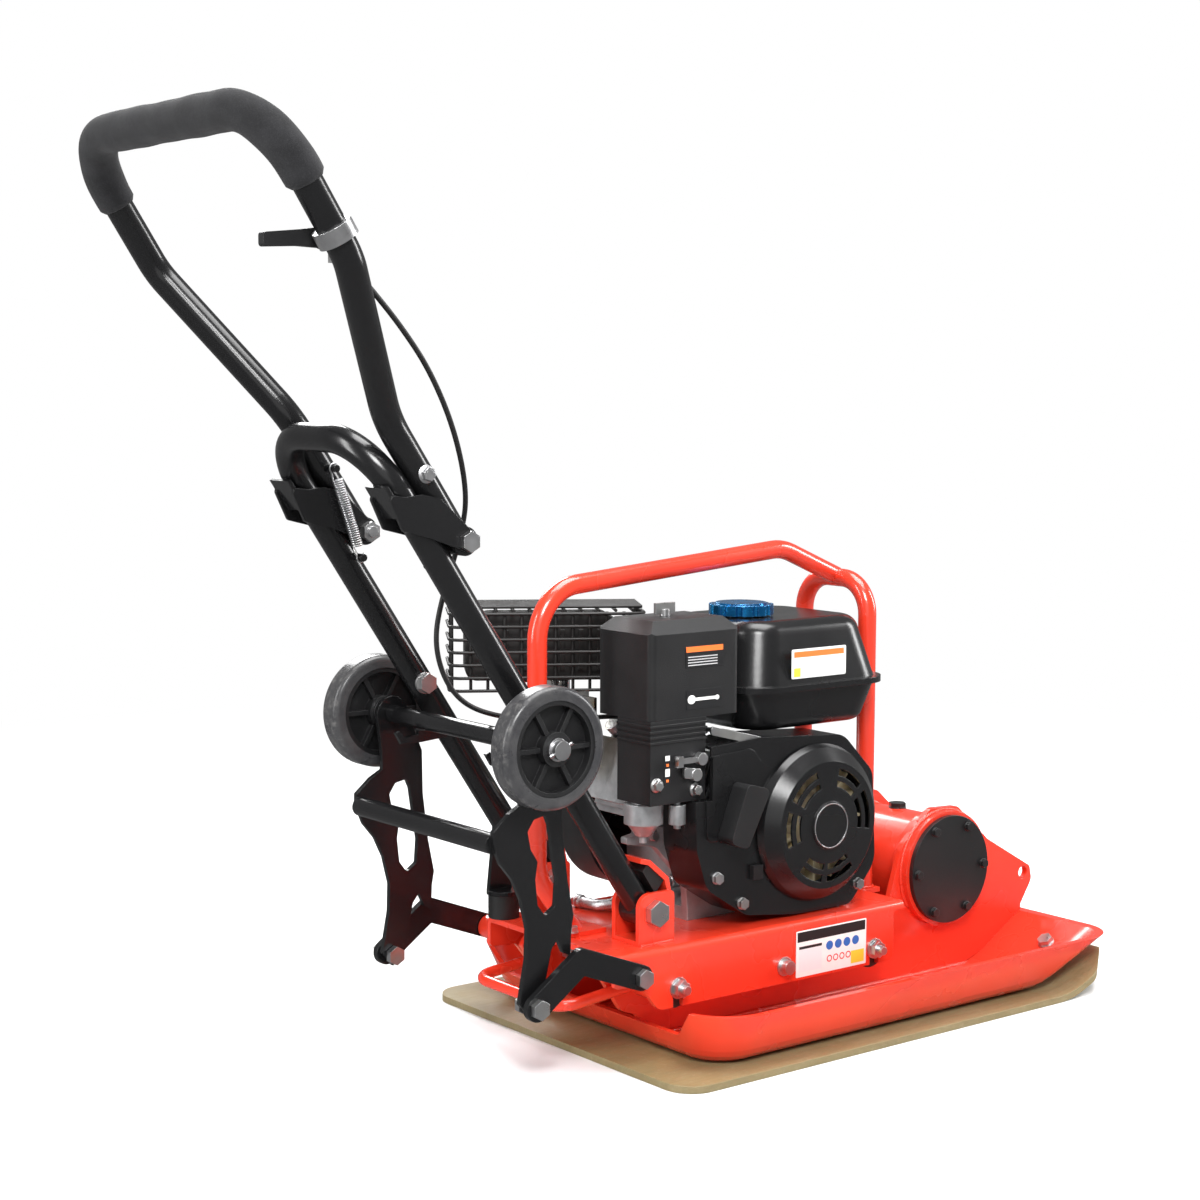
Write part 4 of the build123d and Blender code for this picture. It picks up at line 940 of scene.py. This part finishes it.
def make_floor():
    """A pale floor that meets the surround's tone far from the object."""
    s = Shader("floor")
    mottle = s.noise(0.9, 4, 0.6)
    tone = s.mix(s.span(mottle, 0.3, 0.7), (0.84, 0.84, 0.845), (0.87, 0.87, 0.875))
    s.set(colour=tone, rough=s.span(mottle, 0.3, 0.7, 0.5, 0.65),
          normal=s.bump(s.noise(40, 3), 0.0003, 0.2))
    away = s.vector("LENGTH", s.place, out="Value")
    glow = s.add("ShaderNodeEmission", {"Color": (1, 1, 1, 1), "Strength": 1.0})
    fade = s.add("ShaderNodeMapRange", {0: away, 1: FADE[0], 2: FADE[1]},
                 interpolation_type="SMOOTHSTEP")
    blend = s.add("ShaderNodeMixShader", {0: fade.outputs[0]})
    s.tree.links.new(s.surface.outputs[0], blend.inputs[1])
    s.tree.links.new(glow.outputs[0], blend.inputs[2])
    output = next(n for n in s.tree.nodes if n.type == "OUTPUT_MATERIAL")
    s.tree.links.new(blend.outputs[0], output.inputs[0])
    disc = [(FLOOR_RADIUS, -0.002), (FLOOR_RADIUS, -0.0002)]
    verts, faces, uvs = lathe(disc, (0, 0, 0), (0, 0, 1), 96)
    mesh = bpy.data.meshes.new("studio_floor")
    mesh.from_pydata([tuple(v) for v in verts], [], faces)
    floor = bpy.data.objects.new("studio_floor", mesh)
    mesh.materials.append(s.material)
    floor.visible_glossy = False
    bpy.context.scene.collection.objects.link(floor)


def area_light(name, at, target, size, power, height=None):
    data = bpy.data.lights.new(name, "AREA")
    data.shape = "RECTANGLE"
    data.size, data.size_y = size, height or size
    data.energy = power
    light = bpy.data.objects.new(name, data)
    light.location = at
    light.rotation_mode = "QUATERNION"
    light.rotation_quaternion = (Vector(target) - Vector(at)).to_track_quat("-Z", "Y")
    bpy.context.scene.collection.objects.link(light)


def make_world():
    world = bpy.data.worlds.new("studio")
    bpy.context.scene.world = world
    world.use_nodes = True
    back = world.node_tree.nodes["Background"]
    path = world.node_tree.nodes.new("ShaderNodeLightPath")
    level = world.node_tree.nodes.new("ShaderNodeMapRange")
    level.inputs[3].default_value = 0.25
    level.inputs[4].default_value = 1.0
    world.node_tree.links.new(path.outputs["Is Camera Ray"], level.inputs[0])
    world.node_tree.links.new(level.outputs[0], back.inputs["Strength"])
    back.inputs["Color"].default_value = (1, 1, 1, 1)


make_floor()
make_world()
area_light("key", (-1.9, -2.6, 2.9), (0, 0, 0.25), 1.3, 150)
area_light("top", (0.2, -0.3, 3.2), (0, 0, 0), 2.0, 120)
area_light("rim", (2.8, -1.2, 1.5), (0, 0, 0.3), 0.6, 60, 1.8)
area_light("left", (-3.0, 0.4, 1.4), (-0.2, 0, 0.4), 0.5, 45, 2.0)
area_light("front", (-2.7, -3.0, 0.9), (-0.1, 0, 0.4), 2.6, 9, 1.6)
area_light("behind", (0.8, 3.2, 2.4), (0, 0, 0.3), 1.5, 90)
bpy.context.scene.view_settings.view_transform = "Standard"
bpy.context.scene.view_settings.look = "None"
